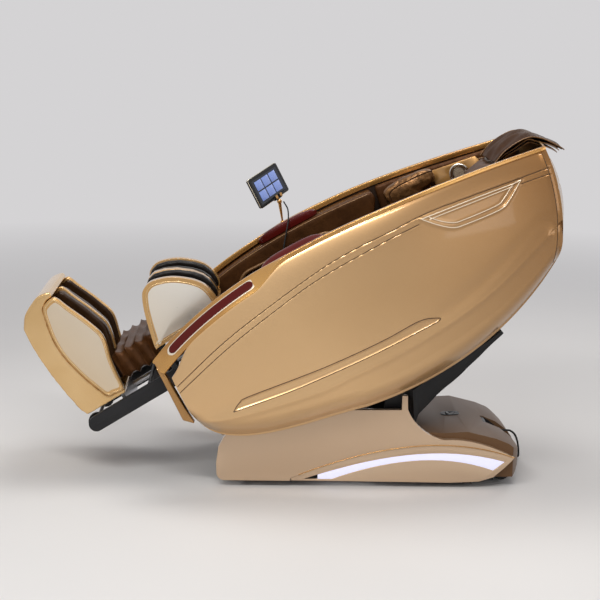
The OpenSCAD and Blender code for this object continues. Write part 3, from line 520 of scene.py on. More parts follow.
LINING = powder("shell_lining", (0.030, 0.016, 0.009), 0.6)
# painted shadow: dark fill laid in the shell's grooves, round the pocket and along the tail line
GROOVE_SHADE_PAINT = powder("seam_shadow", (0.050, 0.026, 0.012), 0.6)
# painted highlight: pale pearl, far lighter than the shell, for the handle's ridges and the tray's lip
HIGHLIGHT_BEAD = pearl("painted_highlight_bead", (0.84, 0.74, 0.60), (0.80, 0.66, 0.48), coat=1.0)
THREAD = leather("gold_piping", (0.26, 0.135, 0.045), (0.11, 0.050, 0.018), 0.40, 900, 0.0002, 0.3)
SCREEN = lacquer("screen_glass", (0.008, 0.014, 0.030), 0.08)
TILE = lamp_diffuser("screen_tile", (0.14, 0.20, 0.44), 0.42, (0.20, 0.28, 0.62))
METAL_EDGE = metal("tablet_edge", (0.80, 0.73, 0.58), 0.22)


def dress(piece, finish, body, cad=()):
    """Gives a finished piece its material and the body that it rides on."""
    settle(piece)
    piece.data.materials.clear()
    piece.data.materials.append(finish)
    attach(piece, body)
    if cad:
        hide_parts(*cad)
    return piece


def paint(finish, *cad):
    """Gives CAD nodes that stay as they are a finish."""
    for n in cad:
        nodes[n].data.materials.clear()
        nodes[n].data.materials.append(finish)


def cord_line(name, points, diameter, body):
    piece = round_line(name, points, diameter / 2, 3)
    piece.data.materials.append(RUBBER)
    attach(piece, body)
    return piece


CORD_D = 7 * MM
CORD_Z = 3.8
LEAD_ROUTE = [(488, 0, 126), (496, 0, 126), (512, 2, 126), (530, 8, 122), (548, 18, 106), (560, 30, 80),
              (568, 44, 50), (573, 60, 22), (574, 80, 8), (572, 105, CORD_Z), (564, 140, CORD_Z),
              (545, 185, CORD_Z), (510, 232, CORD_Z), (462, 270, CORD_Z), (405, 296, CORD_Z), (340, 312, CORD_Z),
              (270, 320, CORD_Z), (200, 322, CORD_Z), (130, 322, CORD_Z), (60, 322, CORD_Z), (7, 322, CORD_Z),
              (0, 322, CORD_Z)]
COIL_TURNS, COIL_PITCH, COIL_OUT, COIL_LIFT, COIL_RINGS = 3, 8.4, 42, 8.2, 24
COIL_SIDE = 322
LEAD_TAIL = [(-12, COIL_SIDE, CORD_Z + COIL_LIFT), (-34, 323, CORD_Z + COIL_LIFT - 2), (-60, 324, CORD_Z + 4),
             (-84, 324, CORD_Z + 2), (-91, 324, CORD_Z + 2)]
CABLE_D = 5 * MM
CABLE_ROUTE = [(-262, 318, 868), (-259, 312, 863), (-248, 290, 845), (-246, 268, 812), (-252, 252, 772),
               (-258, 246, 735), (-261, 244, 713), (-261, 247, 703), (-261, 250, 700), (-261, 253, 700),
               (-261, 256, 700)]


def coil_points():
    """Flat coil of the lead, whose last turns lie over its first."""
    out = []
    for i in range(1, COIL_TURNS * COIL_RINGS + 1):
        t = i / COIL_RINGS
        r = COIL_OUT - COIL_PITCH * (t if t < COIL_TURNS / 2 else COIL_TURNS - t)
        a = 2 * math.pi * t
        z = CORD_Z + COIL_LIFT * ease((t - COIL_TURNS / 2 + 0.25) / 0.5)
        out.append((-r * math.sin(a), COIL_SIDE - COIL_OUT + r * math.cos(a), z))
    return out


def add_cords():
    run = metres(smooth_run(LEAD_ROUTE, 3) + coil_points() + LEAD_TAIL)
    lead = cord_line("mains_lead", run, CORD_D, "base")
    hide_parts("mains_cord", "mains_coil")
    run = metres(smooth_run(CABLE_ROUTE, 3))
    cable = cord_line("tablet_lead", run, CABLE_D, "cradle")
    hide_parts("tablet_cable")


add_cords()


# ---------------------------------------------------------------- outlines shared with the solids, in millimetres
RIM = ((-690, 432), (-430, 790), (125, 990), (540, 1132))
BELLY_FRONT = ((-542, 238), (-440, 115), (-166, 247), (-2, 288))
BELLY_REAR = ((-2, 288), (257, 373), (476, 513), (609, 760))
HEAD_SEAM = ((540, 1132), (597, 1013), (623, 888), (609, 760))
FENDER = ((-240, 30), (20, 140), (270, 185), (496, 106))
HIP, KNEE = (-80, 470), (-500, 540)
SHELL_HALF, HEAD_NARROWING = 390, 100
RIM_H = 20
LEG_SLOPE = math.radians(32)
BACK_SLOPE = math.radians(46)
SEAT_SLOPE = math.radians(20)

GROOVE_UPPER = smooth_run([(-617, 352), (-478, 493), (-349, 603), (-166, 744), (-44, 819), (50, 866), (160, 922),
                           (290, 970), (438, 1022), (553, 1065)], 6)
GROOVE_LOWER = smooth_run([(-608, 334), (-458, 482), (-306, 610), (-166, 717), (28, 832), (140, 888)], 6)
GROOVE_HEAD = [(466, 1013), (510, 1029), (556, 1045)]
HANDLE_OUTER = smooth_run([(146, 905), (196, 888), (248, 878), (290, 888), (398, 932), (428, 962), (463, 1026)], 4)
HANDLE_INNER = smooth_run([(170, 911), (206, 899), (248, 893), (284, 902), (386, 944), (410, 966), (438, 1013)], 4)
HANDLE_TOP = [(146, 905), (170, 914), (300, 963), (440, 1014), (463, 1026)]
HANDLE_SILL = [(172, 903), (206, 917), (300, 952), (392, 987), (437, 1004)]
POCKET = smooth_run([(-427, 286), (-312, 329), (-198, 376), (-7, 467), (214, 578)], 6) + smooth_run(
    [(221, 586), (213, 590), (152, 582), (39, 522), (-151, 431), (-375, 339), (-408, 318), (-427, 288)], 6)
CREASE = smooth_run([(-600, 236), (-546, 246), (-476, 257), (-344, 292), (-156, 356), (-54, 408), (136, 504),
                     (300, 604), (420, 700), (560, 850)], 6)


def bez_line(p, t0, t1, shift, n=30):
    """Points along a curve, all moved the same way."""
    return [(x + shift[0], z + shift[1]) for x, z in (bez(p, mix(t0, t1, k / n)) for k in range(n + 1))]


TAIL_LINE = bez_line(HEAD_SEAM, 0.03, 1.0, (-20, -3))


def point_dir(p, t):
    return heading(bez(p, max(0, t - 0.01)), bez(p, min(1, t + 0.01)))


def rim_at(t, off):
    x, z = bez(RIM, t)
    dx, dz = point_dir(RIM, t)
    return x - off * dz, z + off * dx


def belly_at(t):
    return bez(BELLY_FRONT, 2 * t) if t < 0.5 else bez(BELLY_REAR, 2 * t - 1)


def half_width(x):
    """The shell's half width, which narrows towards the head."""
    return SHELL_HALF - HEAD_NARROWING * ease((x + 50) / 650)


def front_share(t):
    """One along the broad leaning band at the front, nought along the narrow gold edge behind it."""
    return 1 - ease((t - 0.29) / 0.10)


def shoulder(t):
    """How far below the rim line the wall's top edge lies."""
    return mix(12.5, 46, front_share(t))


def wall_ends(t):
    """The wall's lower and upper edge at a station from the front (0) to the head (1)."""
    b = belly_at(t)
    x, z = rim_at(t, -shoulder(t))
    lean = 1 - ease(t / 0.12)
    return b, (x + 30 * lean, z - 14 * lean)


WALL_THICK = 12
CURL_IN, LOW_CURL, HIGH_CURL = 66, 78, 82
REAR_BULGE = 22


def wall_point(t, v, ends):
    """Point of the side wall in the side view, and how far in from its widest it lies."""
    b, r = ends
    dx, dz = r[0] - b[0], r[1] - b[1]
    span = math.hypot(dx, dz)
    bulge = 4 * v * (1 - v) * REAR_BULGE * ease((t - 0.72) / 0.28)
    x, z = b[0] + v * dx + bulge * dz / span, b[1] + v * dz - bulge * dx / span
    low, high = max(0, 1 - v * span / LOW_CURL), max(0, 1 - (1 - v) * span / HIGH_CURL)
    return x, z, CURL_IN * low * low + mix(15, 5, front_share(t)) * high * high + 10 * (2 * v - 1) ** 2


def apart(x, z, line):
    """Distance from a point to a drawn line, and which side it lies on (above is positive)."""
    best, side = 1e9, 1
    for (ax, az), (bx, bz) in zip(line, line[1:]):
        dx, dz = bx - ax, bz - az
        k = max(0.0, min(1.0, ((x - ax) * dx + (z - az) * dz) / (dx * dx + dz * dz + 1e-9)))
        ex, ez = x - ax - k * dx, z - az - k * dz
        gap = ex * ex + ez * ez
        if gap < best:
            best, side = gap, 1 if dx * ez - dz * ex > 0 else -1
    return math.sqrt(best), side


def within(x, z, ring):
    hit = False
    for (ax, az), (bx, bz) in zip(ring, ring[1:] + ring[:1]):
        if (az > z) != (bz > z) and x < ax + (z - az) / (bz - az) * (bx - ax):
            hit = not hit
    return hit


def boxed(lines, margin):
    xs, zs = [p[0] for p in lines], [p[1] for p in lines]
    return min(xs) - margin, max(xs) + margin, min(zs) - margin, max(zs) + margin


def in_box(box, x, z):
    return box[0] < x < box[1] and box[2] < z < box[3]


def hump(d, width):
    """Bell curve, one at its middle."""
    return math.exp(-(d / width) ** 2)


HANDLE_RING = HANDLE_OUTER + HANDLE_TOP[::-1]
# each handle ridge's line, height and width
HANDLE_RIDGES = ((HANDLE_OUTER, 3.6, 3.6), (HANDLE_INNER, 2.8, 3.2), (HANDLE_TOP, 2.6, 3.2), (HANDLE_SILL, 1.8, 3.0))
CREASE_HIGH, CREASE_WIDE = 3.6, 12
BELLY_SINK, BELLY_SLOPE = 10.0, 0.16
HOLLOW_DEEP, HOLLOW_ABOVE, HOLLOW_WIDE = 3.2, 42, 26
TAIL_HIGH, TAIL_WIDE = 2.2, 5
GROOVE_DEEP, GROOVE_WIDE = 2.0, 2.1
LIP_HIGH, LIP_OFF, LIP_WIDE = 0.7, 5, 2.6
PANEL_STEP, HANDLE_SINK, POCKET_SINK = 1.2, 2.2, 4.2
HANDLE_BOX, POCKET_BOX = boxed(HANDLE_RING, 16), boxed(POCKET, 16)


def wall_relief(x, z):
    """How far the moulded detail stands out of the side wall (+) or sinks into it (-), in mm."""
    out = 0.0
    d, side = apart(x, z, CREASE)
    out += CREASE_HIGH * hump(d, CREASE_WIDE)
    if side < 0:
        out -= min(BELLY_SINK, BELLY_SLOPE * d)
    else:
        out -= HOLLOW_DEEP * hump(d - HOLLOW_ABOVE, HOLLOW_WIDE) * ease((x + 560) / 160)
    if x > 480 and z > 700:
        out += TAIL_HIGH * hump(apart(x, z, TAIL_LINE)[0], TAIL_WIDE)
    for line in (GROOVE_UPPER, GROOVE_LOWER, GROOVE_HEAD):
        d, side = apart(x, z, line)
        out += LIP_HIGH * hump(d - LIP_OFF, LIP_WIDE) - GROOVE_DEEP * hump(d, GROOVE_WIDE)
        if line is GROOVE_UPPER and side > 0:
            out += PANEL_STEP * ease(d / 10)
    if in_box(HANDLE_BOX, x, z):
        for line, high, width in HANDLE_RIDGES:
            out += high * hump(apart(x, z, line)[0], width)
        if within(x, z, HANDLE_RING):
            out -= HANDLE_SINK * ease(apart(x, z, HANDLE_RING)[0] / 8)
    if in_box(POCKET_BOX, x, z):
        d = apart(x, z, POCKET + POCKET[:1])[0]
        if within(x, z, POCKET):
            out -= POCKET_SINK * ease(d / 5)
        out += 0.8 * hump(d - 3.5, 2.4)
    return out


def side_wall(name, cad, mirror):
    """One side of the shell: outer face with its moulded detail, then the smooth inner face."""
    across, along, inner = ((168, 250, 10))
    loops = []
    for i in range(along + 1):
        t = i / along
        ends = wall_ends(t)
        loop = []
        for j in range(across + 1):
            v = j / across
            v = 0.5 * (2 * v) ** 1.35 if v < 0.5 else 1 - 0.5 * (2 - 2 * v) ** 1.35
            x, z, deep = wall_point(t, v, ends)
            soft = ease(min(v, 1 - v) / 0.02) * ease(min(t, 1 - t) / 0.01)
            loop.append(at(x, (-half_width(x) + deep - soft * wall_relief(x, z)) * mirror, z))
        for j in range(inner, -1, -1):
            x, z, deep = wall_point(t, j / inner, ends)
            loop.append(at(x, (-half_width(x) + deep + WALL_THICK) * mirror, z))
        loops.append(loop)
    piece = dress(loft(name, loops, angle=50), SHELL_PAINT, "cradle", [cad])
    piece.data.materials.append(LINING)
    for face in piece.data.polygons:
        if face.normal.y * mirror > 0.25:
            face.material_index = 1
    return piece


def evenly(points, step):
    """The same line with points at an even step."""
    out = [points[0]]
    for a, b in zip(points, points[1:]):
        n = max(1, round(math.hypot(b[0] - a[0], b[1] - a[1]) / step))
        out += [between(a, b, k / n) for k in range(1, n + 1)]
    return out


def on_wall(tree, points, mirror, sink):
    """Drops drawn points onto the outer face of a side wall."""
    run = []
    for x, z in evenly(points, 4):
        hit = tree.ray_cast(Vector((x * MM, -0.6 * mirror, z * MM)), Vector((0, mirror, 0)))
        if hit[0] is not None:
            run.append((hit[0].x, hit[0].y + sink * MM * mirror, hit[0].z))
    return run


# dark tubes of painted shadow in the grooves: each line, how far its tube sinks and the tube's radius
GROOVE_SHADOW_TUBES = ((GROOVE_UPPER, -0.15, 1.15), (GROOVE_LOWER, -0.15, 1.15), (GROOVE_HEAD, -0.15, 1.15),
                (POCKET + POCKET[:1], -0.1, 1.25), (TAIL_LINE, -0.1, 1.1))
RIDGE_RADIUS = 1.7


def add_shell():
    for side, mirror in SIDES:
        tree = skin_tree(side_wall(f"shell_wall_{side}", f"side_panel_{side}", mirror))
        # the groove tubes are painted shadow
        grooves = [tube("groove", on_wall(tree, line, mirror, sink), radius * MM, sides=2)
                   for line, sink, radius in GROOVE_SHADOW_TUBES]
        dress(joined(f"groove_shadow_{side}", grooves), GROOVE_SHADE_PAINT, "cradle")
        # the handle's ridges in pale pearl are a painted highlight
        ridges = [tube("ridge", on_wall(tree, line, mirror, 0.2), RIDGE_RADIUS * MM) for line, _, _ in HANDLE_RIDGES]
        dress(joined(f"handle_ridge_{side}", ridges), HIGHLIGHT_BEAD, "cradle")


def head_line(v):
    """Edge that the back cover follows: down the head's seam, then forward under the belly; with its direction."""
    if v < 0.6:
        return bez(HEAD_SEAM, v / 0.6), point_dir(HEAD_SEAM, v / 0.6)
    t = 1 - (v - 0.6) / 0.4 * 0.42
    dx, dz = point_dir(BELLY_REAR, t)
    return bez(BELLY_REAR, t), (-dx, -dz)


SEAM_SPAN = 353


def add_back_shell():
    """Bulging cover behind the head, down to the belly, with two shallow steps across it."""
    across, down = ((90, 110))
    loops = []
    for i in range(across + 1):
        u = 2 * i / across - 1
        rows = []
        for deep, count in ((0.0, down), (5.0, 16)):
            row = []
            for j in range(count + 1):
                v = j / count
                (x, z), (dx, dz) = head_line(v)
                w = max(0, 1 - v / 0.6)
                curls = []
                for k in (w, max(0, w - 0.07)):
                    low, high = max(0, 1 - k * SEAM_SPAN / LOW_CURL), max(0, 1 - (1 - k) * SEAM_SPAN / 40)
                    curls.append(CURL_IN * low * low + 9 * high * high + 10 * (2 * k - 1) ** 2)
                inset = max(max(curls) + WALL_THICK + 0.4, 40.4 if v < 0.1 else 0)
                swell = 42 * (1 - u * u) * math.sin(math.pi * min(1, v / 0.7 + 0.1)) - deep
                if not deep:
                    swell -= 2.0 * hump((v - 0.22) * 500, 3) + 2.0 * hump((v - 0.47) * 500, 3)
                    swell += 1.6 * hump((abs(u) - 0.62) * 250, 6)
                row.append((x - dz * swell, z + dx * swell, half_width(x) - inset))
            rows.append(row)
        loop = rows[0] + rows[1][::-1]
        loops.append([at(x, u * w, z) for x, z, w in loop])
    dress(loft("back_cover", loops, angle=50), BACK_PAINT, "cradle", ["back_shell"])


def soft_section(w0, w1, h0, h1, radius, crown=0.0, corner=4, face=6):
    """Rounded section of a strip: points (across, up) round it, with a crowned upper face."""
    out = []
    for cx, cz, a0 in ((w1 - radius, h1 - radius, 0), (w0 + radius, h1 - radius, 90), (w0 + radius, h0 + radius, 180),
                       (w1 - radius, h0 + radius, 270)):
        for k in range(corner + 1):
            a = math.radians(a0 + 90 * k / corner)
            out.append((cx + radius * math.cos(a), cz + radius * math.sin(a)))
        if a0 == 0:
            for k in range(1, face):
                u = k / face
                out.append((mix(w1 - radius, w0 + radius, u), h1 + crown * 4 * u * (1 - u)))
    return out


def rim_piece(name, t0, t1, section, finish, slot, cad, n, mirror, taper=3.0):
    """Strip along the rim: section(t) gives points (in from the wall's widest, above the rim line)."""
    loops = []
    for t in [t0] + [mix(t0, t1, (i + 0.35) / n) for i in range(n)] + [t1]:
        points = section(t)
        if t in (t0, t1):
            mw, mh = (sum(p[k] for p in points) / len(points) for k in (0, 1))
            points = [(w + (mw - w) * min(0.5, taper / 20), h + (mh - h) * min(0.5, taper / 8)) for w, h in points]
        width = half_width(bez(RIM, t)[0])
        loop = []
        for w, h in points:
            x, z = rim_at(t, h)
            loop.append(at(x, (-width + w) * mirror, z))
        loops.append(loop)
    return dress(loft(name, loops, angle=45), finish, "cradle", cad)


CHAMFER_LOW, CHAMFER_HIGH = (12.0, -48.5), (60.0, -1.5)
CHAMFER_RUN = (CHAMFER_HIGH[0] - CHAMFER_LOW[0], CHAMFER_HIGH[1] - CHAMFER_LOW[1])
CHAMFER_REACH = math.hypot(*CHAMFER_RUN)
TRAY, TRAY_LIP = (0.05, 0.30), (0.044, 0.306)
ARM_PLATE = (0.325, 0.485)


def chamfer(across, up):
    """Point of the leaning band: a distance from its lower edge and a height above its face."""
    k = across / CHAMFER_REACH
    return (CHAMFER_LOW[0] + CHAMFER_RUN[0] * k - CHAMFER_RUN[1] / CHAMFER_REACH * up,
            CHAMFER_LOW[1] + CHAMFER_RUN[1] * k + CHAMFER_RUN[0] / CHAMFER_REACH * up)


def on_chamfer(half, low, high, radius, crown):
    middle = CHAMFER_REACH / 2
    return [chamfer(w, h) for w, h in soft_section(middle - half, middle + half, low, high, radius, crown)]


def narrowing(wide, edge, t):
    """A front section carried over to the narrow one behind it."""
    return [between(p, q, 1 - front_share(t)) for p, q in zip(wide, edge)]


def band(t):
    wide = [chamfer(w, h) for w, h in soft_section(0, CHAMFER_REACH, -9, 0, 3.0, 1.0)]
    return narrowing(wide, soft_section(21, 35, -14, -1.2, 3.0, 0.6), t)


def lining(t):
    return narrowing(soft_section(56, 66, -20, -1.6, 2.0), soft_section(32, 42, -20, -1.6, 2.0), t)


def round_end(t, ends, reach, half):
    """Half width of a strip whose ends are rounded off over a reach."""
    end = min(t - ends[0], ends[1] - t) / reach
    return half * math.sqrt(max(0.03, 1 - (1 - min(1, end)) ** 2))


def tray(t):
    half = round_end(t, TRAY, 0.012, 15.5)
    return on_chamfer(half, 0.6, 3.0, min(1.1, half * 0.4), 0.6)


def lip(t):
    half = round_end(t, TRAY_LIP, 0.015, 19)
    return on_chamfer(half, -0.4, 1.5, min(0.8, half * 0.3), 0.2)


def arm_plate(t):
    end = math.sqrt(max(0.02, 1 - abs(2 * (t - ARM_PLATE[0]) / (ARM_PLATE[1] - ARM_PLATE[0]) - 1) ** 5))
    flat = soft_section(66, 66 + 52 * end, -25.5, -12.0, 4.0, 3.0 * end)
    return [(w, h + max(0, h + 20) * (w - 60) / 58 * 2.2 * end) for w, h in flat]


def add_rims():
    """The leaning gold band at the front that narrows to an edge line, and the maroon tray let into it."""
    for side, mirror in SIDES:
        rim_piece(f"rim_{side}", 0, 1, band, RIM_GOLD, "rim_gold", ["rim_trims"], 120, mirror)
        rim_piece(f"rim_lining_{side}", 0, 1, lining, RIM_GOLD, "rim_gold", [], 80, mirror)
        # the tray's lip in pale pearl is a painted highlight
        rim_piece(f"tray_lip_{side}", *TRAY_LIP, lip, HIGHLIGHT_BEAD, "rim_gold", [], 60, mirror, 0)
        rim_piece(f"tray_{side}", *TRAY, tray, MAROON, "maroon", ["inset_strips"], 60, mirror, 0)
        rim_piece(f"arm_plate_{side}", *ARM_PLATE, arm_plate, MAROON, "maroon", ["arm_plates"], 40, mirror, 5)


TUNNEL, TUNNEL_TURN = (-232, 648), math.radians(28)


def tunnel_outline(grow=0.0, n=10):
    """Rounded slot in the armrest's inner face that takes the forearm."""
    reach, r = (380 - 96) / 2, 48 + grow
    c, s = math.cos(TUNNEL_TURN), math.sin(TUNNEL_TURN)
    out = []
    for end in (1, -1):
        for k in range(n + 1):
            a = math.radians(-90 + 180 * k / n) + (0 if end > 0 else math.pi)
            x, z = end * reach + r * math.cos(a), r * math.sin(a)
            out.append((TUNNEL[0] + x * c - z * s, TUNNEL[1] + x * s + z * c))
    return out


def wrinkled(piece, high, size, seed):
    """Lets soft wrinkles and dimples show in the skin."""
    piece.data.update()
    shift = Vector((seed * 3.1, seed * 1.7, seed * 0.9))
    moves = []
    for v in piece.data.vertices:
        n = noise.fractal(v.co / size + shift, 0.6, 2.1, 3) * 0.6
        n += 0.5 * (1 - abs(noise.noise(v.co / (size * 2.3) + shift * 2)) * 2)
        moves.append(v.normal * (n - 0.35) * high)
    for v, move in zip(piece.data.vertices, moves):
        v.co += move
    piece.data.update()
    return piece


def remeshed(name, cad, fine, rounds):
    """A copy of a solid with an even skin, its edges smoothed by so many rounds."""
    piece = copied(name, cad)
    modify(piece, "REMESH", mode="VOXEL", voxel_size=fine * MM)
    return modify(piece, "SMOOTH", factor=0.5, iterations=rounds)


def padded_copy(name, cad, voxel, rounds, finish, body, seed, high=0.9):
    """Foam part with a sewn cover: the solid's form with soft edges and slight wrinkles."""
    piece = remeshed(name, cad, voxel, rounds)
    wrinkled(piece, high * MM, 0.045, seed)
    dress(smooth(piece, 180), finish, body, [cad])
    return piece


def side_face(tree, points, start, aim):
    """Drops drawn points onto a skin, across the chair from a starting plane."""
    run = []
    for x, z in points:
        hit = tree.ray_cast(at(x, start, z), Vector((0, aim, 0)))
        if hit[0] is not None:
            run.append(hit[0])
    return run


ARM_BAG = (45.6, 12, 40)
ARM_BAG_PITCH, ARM_BAG_SIDE = 74.4, 353
ROLL_SIDE, PIPING_SIDE = 257, 259
ARMREST_SEAM = smooth_run([(-520, 388), (-400, 428), (-240, 478), (-84, 532), (-20, 620), (36, 700), (44, 800)], 6)


def add_armrests():
    for side, mirror in SIDES:
        block_cover = padded_copy(f"armrest_cover_{side}", f"armrest_{side}", 6, 8, BROWN, "cradle",
                                  2 + mirror)
        rim = [rim_at(mix(0.15, 0.61, i / 30), -RIM_H - 12) for i in range(31)]
        seams = [tube("roll", metres((x, -ROLL_SIDE * mirror, z) for x, z in tunnel_outline(5)), 6.5 * MM, closed=True,
                      sides=4),
                 tube("piping", metres((x, -PIPING_SIDE * mirror, z) for x, z in rim), 3.0 * MM),
                 tube("piping", side_face(skin_tree(block_cover), ARMREST_SEAM, 0, -mirror), 2.4 * MM)]
        dress(joined(f"armrest_seams_{side}", seams), THREAD, "cradle")
        pads = []
        for step in (-ARM_BAG_PITCH, 0.0, ARM_BAG_PITCH):
            deselect()
            bpy.ops.mesh.primitive_uv_sphere_add(segments=32, ring_count=16, radius=1)
            pad = bpy.context.object
            pad.scale = [c * MM for c in ARM_BAG]
            pad.rotation_euler = (0, -TUNNEL_TURN, 0)
            pad.location = at(TUNNEL[0] + step * math.cos(0.49), -ARM_BAG_SIDE * mirror,
                              TUNNEL[1] + step * math.sin(0.49))
            pads.append(smooth(settle(pad), 180))
        arm_bags = dress(joined(f"forearm_airbags_{side}", pads), BROWN, "cradle")


def local_frame(origin, slope, forward=1):
    """Matrix from a slope's own axes, x up along it and z out of it, to the shared frame."""
    x = Vector((forward * math.cos(slope), 0, math.sin(slope)))
    z = Vector((-forward * math.sin(slope), 0, math.cos(slope)))
    turn = Matrix((x, z.cross(x), z)).transposed().to_4x4()
    return Matrix.Translation(at(origin[0], 0, origin[1])) @ turn


BACK = local_frame(HIP, BACK_SLOPE)
SEAT = local_frame(HIP, SEAT_SLOPE, -1)
LEG = local_frame(KNEE, LEG_SLOPE)


FILL_FRAMES = 20
CHANNEL_DEEP, CHANNEL_WIDE = 9.5, 6.5
SIDE_SEAM_DEEP, SIDE_SEAM_WIDE = 7.0, 5.5


def swell(piece, pressure, cap, hold=None):
    """Fills a cover by cloth simulation, no point moving further than the cap; hold(co) pins what is fixed."""
    rest = [v.co.copy() for v in piece.data.vertices]
    cloth = piece.modifiers.new("fill", "CLOTH")
    rules = cloth.settings
    rules.quality = 4
    rules.use_pressure = True
    rules.uniform_pressure_force = pressure
    rules.effector_weights.gravity = 0
    rules.tension_stiffness = rules.compression_stiffness = 18
    rules.bending_stiffness = 1.5
    cloth.collision_settings.use_collision = False
    if hold:
        group = piece.vertex_groups.new(name="held")
        group.add([i for i, co in enumerate(rest) if hold(co)], 1.0, "REPLACE")
        rules.vertex_group_mass = "held"
    cloth.point_cache.frame_end = FILL_FRAMES
    for frame_number in range(1, FILL_FRAMES + 1):
        bpy.context.scene.frame_set(frame_number)
    only(piece)
    bpy.ops.object.modifier_apply(modifier=cloth.name)
    bpy.context.scene.frame_set(1)
    for v, co in zip(piece.data.vertices, rest):
        move = v.co - co
        if move.length > cap:
            v.co = co + move * (cap / move.length)
    return piece


def cushion(name, place, x0, x1, half, z0, z1, seams, voxel, finish, cad, seed, rounding=20, side_seams=()):
    """Stuffed cushion: a rounded block, filled by simulation, then drawn in along its sewn channels."""
    shrink = 5
    piece = block(name, (x1 - x0 - 2 * shrink, 2 * (half - shrink), z1 - z0 - shrink),
                  ((x0 + x1) / 2, 0, (z0 + z1 - shrink) / 2))
    modify(piece, "BEVEL", width=rounding * MM, segments=4, limit_method="NONE")
    modify(piece, "REMESH", mode="VOXEL", voxel_size=voxel * MM)
    swell(piece, 4.0, 24 * MM, lambda co: co.z < (z0 + 5) * MM)
    thick = z1 - z0
    for v in piece.data.vertices:
        x, y, z = v.co / MM
        top = ease((z - z0 - thick * 0.35) / (thick * 0.4))
        edge = ease((half - 2 - abs(y)) / 16)
        draw = sum(CHANNEL_DEEP * hump(x - s, CHANNEL_WIDE) for s in seams) * edge
        draw += sum(SIDE_SEAM_DEEP * hump(abs(y) - s, SIDE_SEAM_WIDE) for s in side_seams)
        z -= draw * top
        y = max(-half - 3, min(half + 3, y))
        v.co = Vector((max(x0 - 3, min(x1 + 3, x)), y, max(z0, min(z1 + 13, z)))) * MM
    modify(piece, "SMOOTH", factor=0.4, iterations=2)
    modify(piece, "SUBSURF", levels=1, render_levels=1)
    piece.data.transform(place)
    wrinkled(piece, 1.1 * MM, 0.05, seed)
    smooth(piece, 180)
    dress(piece, finish, "cradle", [cad] if cad else [])
    return piece


def stitched(name, runs, radius, finish, body):
    return dress(joined(name, [tube("piping", run, radius * MM, sides=3) for run in runs]), finish, body)


def placed(place, points):
    return [place @ (Vector(p) * MM) for p in points]


def bed_run(tree, place, points, lift=0.0):
    """Drops points given on a slope's own plane onto the cushion beneath them."""
    out = []
    down = place.to_3x3() @ Vector((0, 0, -1))
    for x, y in points:
        hit = tree.ray_cast(place @ Vector((x * MM, y * MM, 0.14)), down)
        if hit[0] is not None:
            out.append(hit[0] - down * lift * MM)
    return out


def add_cushions():
    seat = cushion("seat_cover", SEAT, 4, 330, 244, -72, 2, [4 + 326 * k / 4 for k in (1, 2, 3)], 6, BROWN,
                   "seat_cushion", 5, side_seams=[150])
    back = cushion("back_cover_pad", BACK, 4, 704, 226, -58, 2, [4 + 100 * k for k in range(1, 7)], 6.5, BROWN,
                   "back_pad", 6, side_seams=[118])
    pillow = cushion("head_pad", BACK, 566, 786, 148, 12, 56, [676], 5, BROWN, "head_pillow", 7, 15)
    runs = []
    for piece, place, ys, span in ((seat, SEAT, (-232, 232), (20, 316)), (back, BACK, (-214, 214), (20, 690)),
                                   (pillow, BACK, (-138, 138), (582, 772))):
        tree = skin_tree(piece)
        for y in ys:
            runs.append(bed_run(tree, place, [(mix(*span, k / 60), y) for k in range(61)], 0.5))
    stitched("cushion_piping", runs, 2.2, THREAD, "cradle")


FLAP_LINE = smooth_run([(404, 1064), (440, 1109), (499, 1147), (545, 1151), (600, 1131), (632, 1113)], 8)
FLAP_HALF, FLAP_THICK, FLAP_COLS = 146, 6.0, 24
FOLD_THICK = 3.2


def flap_narrowing(i):
    """How much narrower the flap is towards its hanging end."""
    return 16 * ease((i / (len(FLAP_LINE) - 1) - 0.75) / 0.25) ** 2


def add_head_flap():
    """Leather flap folded over the top of the shell, with loose wrinkles, and two folds beneath it."""
    n = len(FLAP_LINE) - 1
    loops = []
    for i, (x, z) in enumerate(FLAP_LINE):
        dx, dz = heading(FLAP_LINE[max(0, i - 1)], FLAP_LINE[min(n, i + 1)])
        half = FLAP_HALF - flap_narrowing(i)
        upper, lower = [], []
        for k in range(FLAP_COLS + 1):
            u = 2 * k / FLAP_COLS - 1
            ripple = 3.4 * math.sin(u * 5.2 + i * 0.16) * ease((1 - abs(u)) / 0.2) + 2.2 * math.sin(u * 11 - i * 0.3)
            up = ripple - 3.0 * u ** 4
            low = up - FLAP_THICK * (ease((1 - abs(u)) / 0.06) * 0.8 + 0.2)
            upper.append(at(x - dz * up, u * half, z + dx * up))
            lower.append(at(x - dz * low, u * half, z + dx * low))
        loops.append(upper + lower[::-1])
    flap = loft("head_flap", loops, angle=60)
    modify(flap, "SUBSURF", levels=1, render_levels=1)
    dress(smooth(flap, 70), FLAP_HIDE, "cradle")
    folds = []
    for low, drop in ((9, 3), (19, 9)):
        rows = []
        for i in range(1, n - 3):
            x, z = FLAP_LINE[i]
            dx, dz = heading(FLAP_LINE[i - 1], FLAP_LINE[i + 1])
            sag = low + 3.0 * math.sin(i * 0.45 + drop)
            top = [at(x + dz * sag, y, z - dx * sag - 4 * (abs(y) / 140) ** 3)
                   for y in (mix(-139 + drop, 139 - drop, k / 20) for k in range(21))]
            rows.append(top + [p - Vector((0, 0, FOLD_THICK * MM)) for p in top[::-1]])
        folds.append(loft("fold", rows, angle=60))
    dress(joined("flap_folds", folds), TAN, "cradle")
    edges = [[at(x, side * (FLAP_HALF + 0.5 - flap_narrowing(i)), z - 3.5) for i, (x, z) in enumerate(FLAP_LINE)]
             for side in (1, -1)]
    stitched("flap_piping", edges, 2.0, THREAD, "cradle")


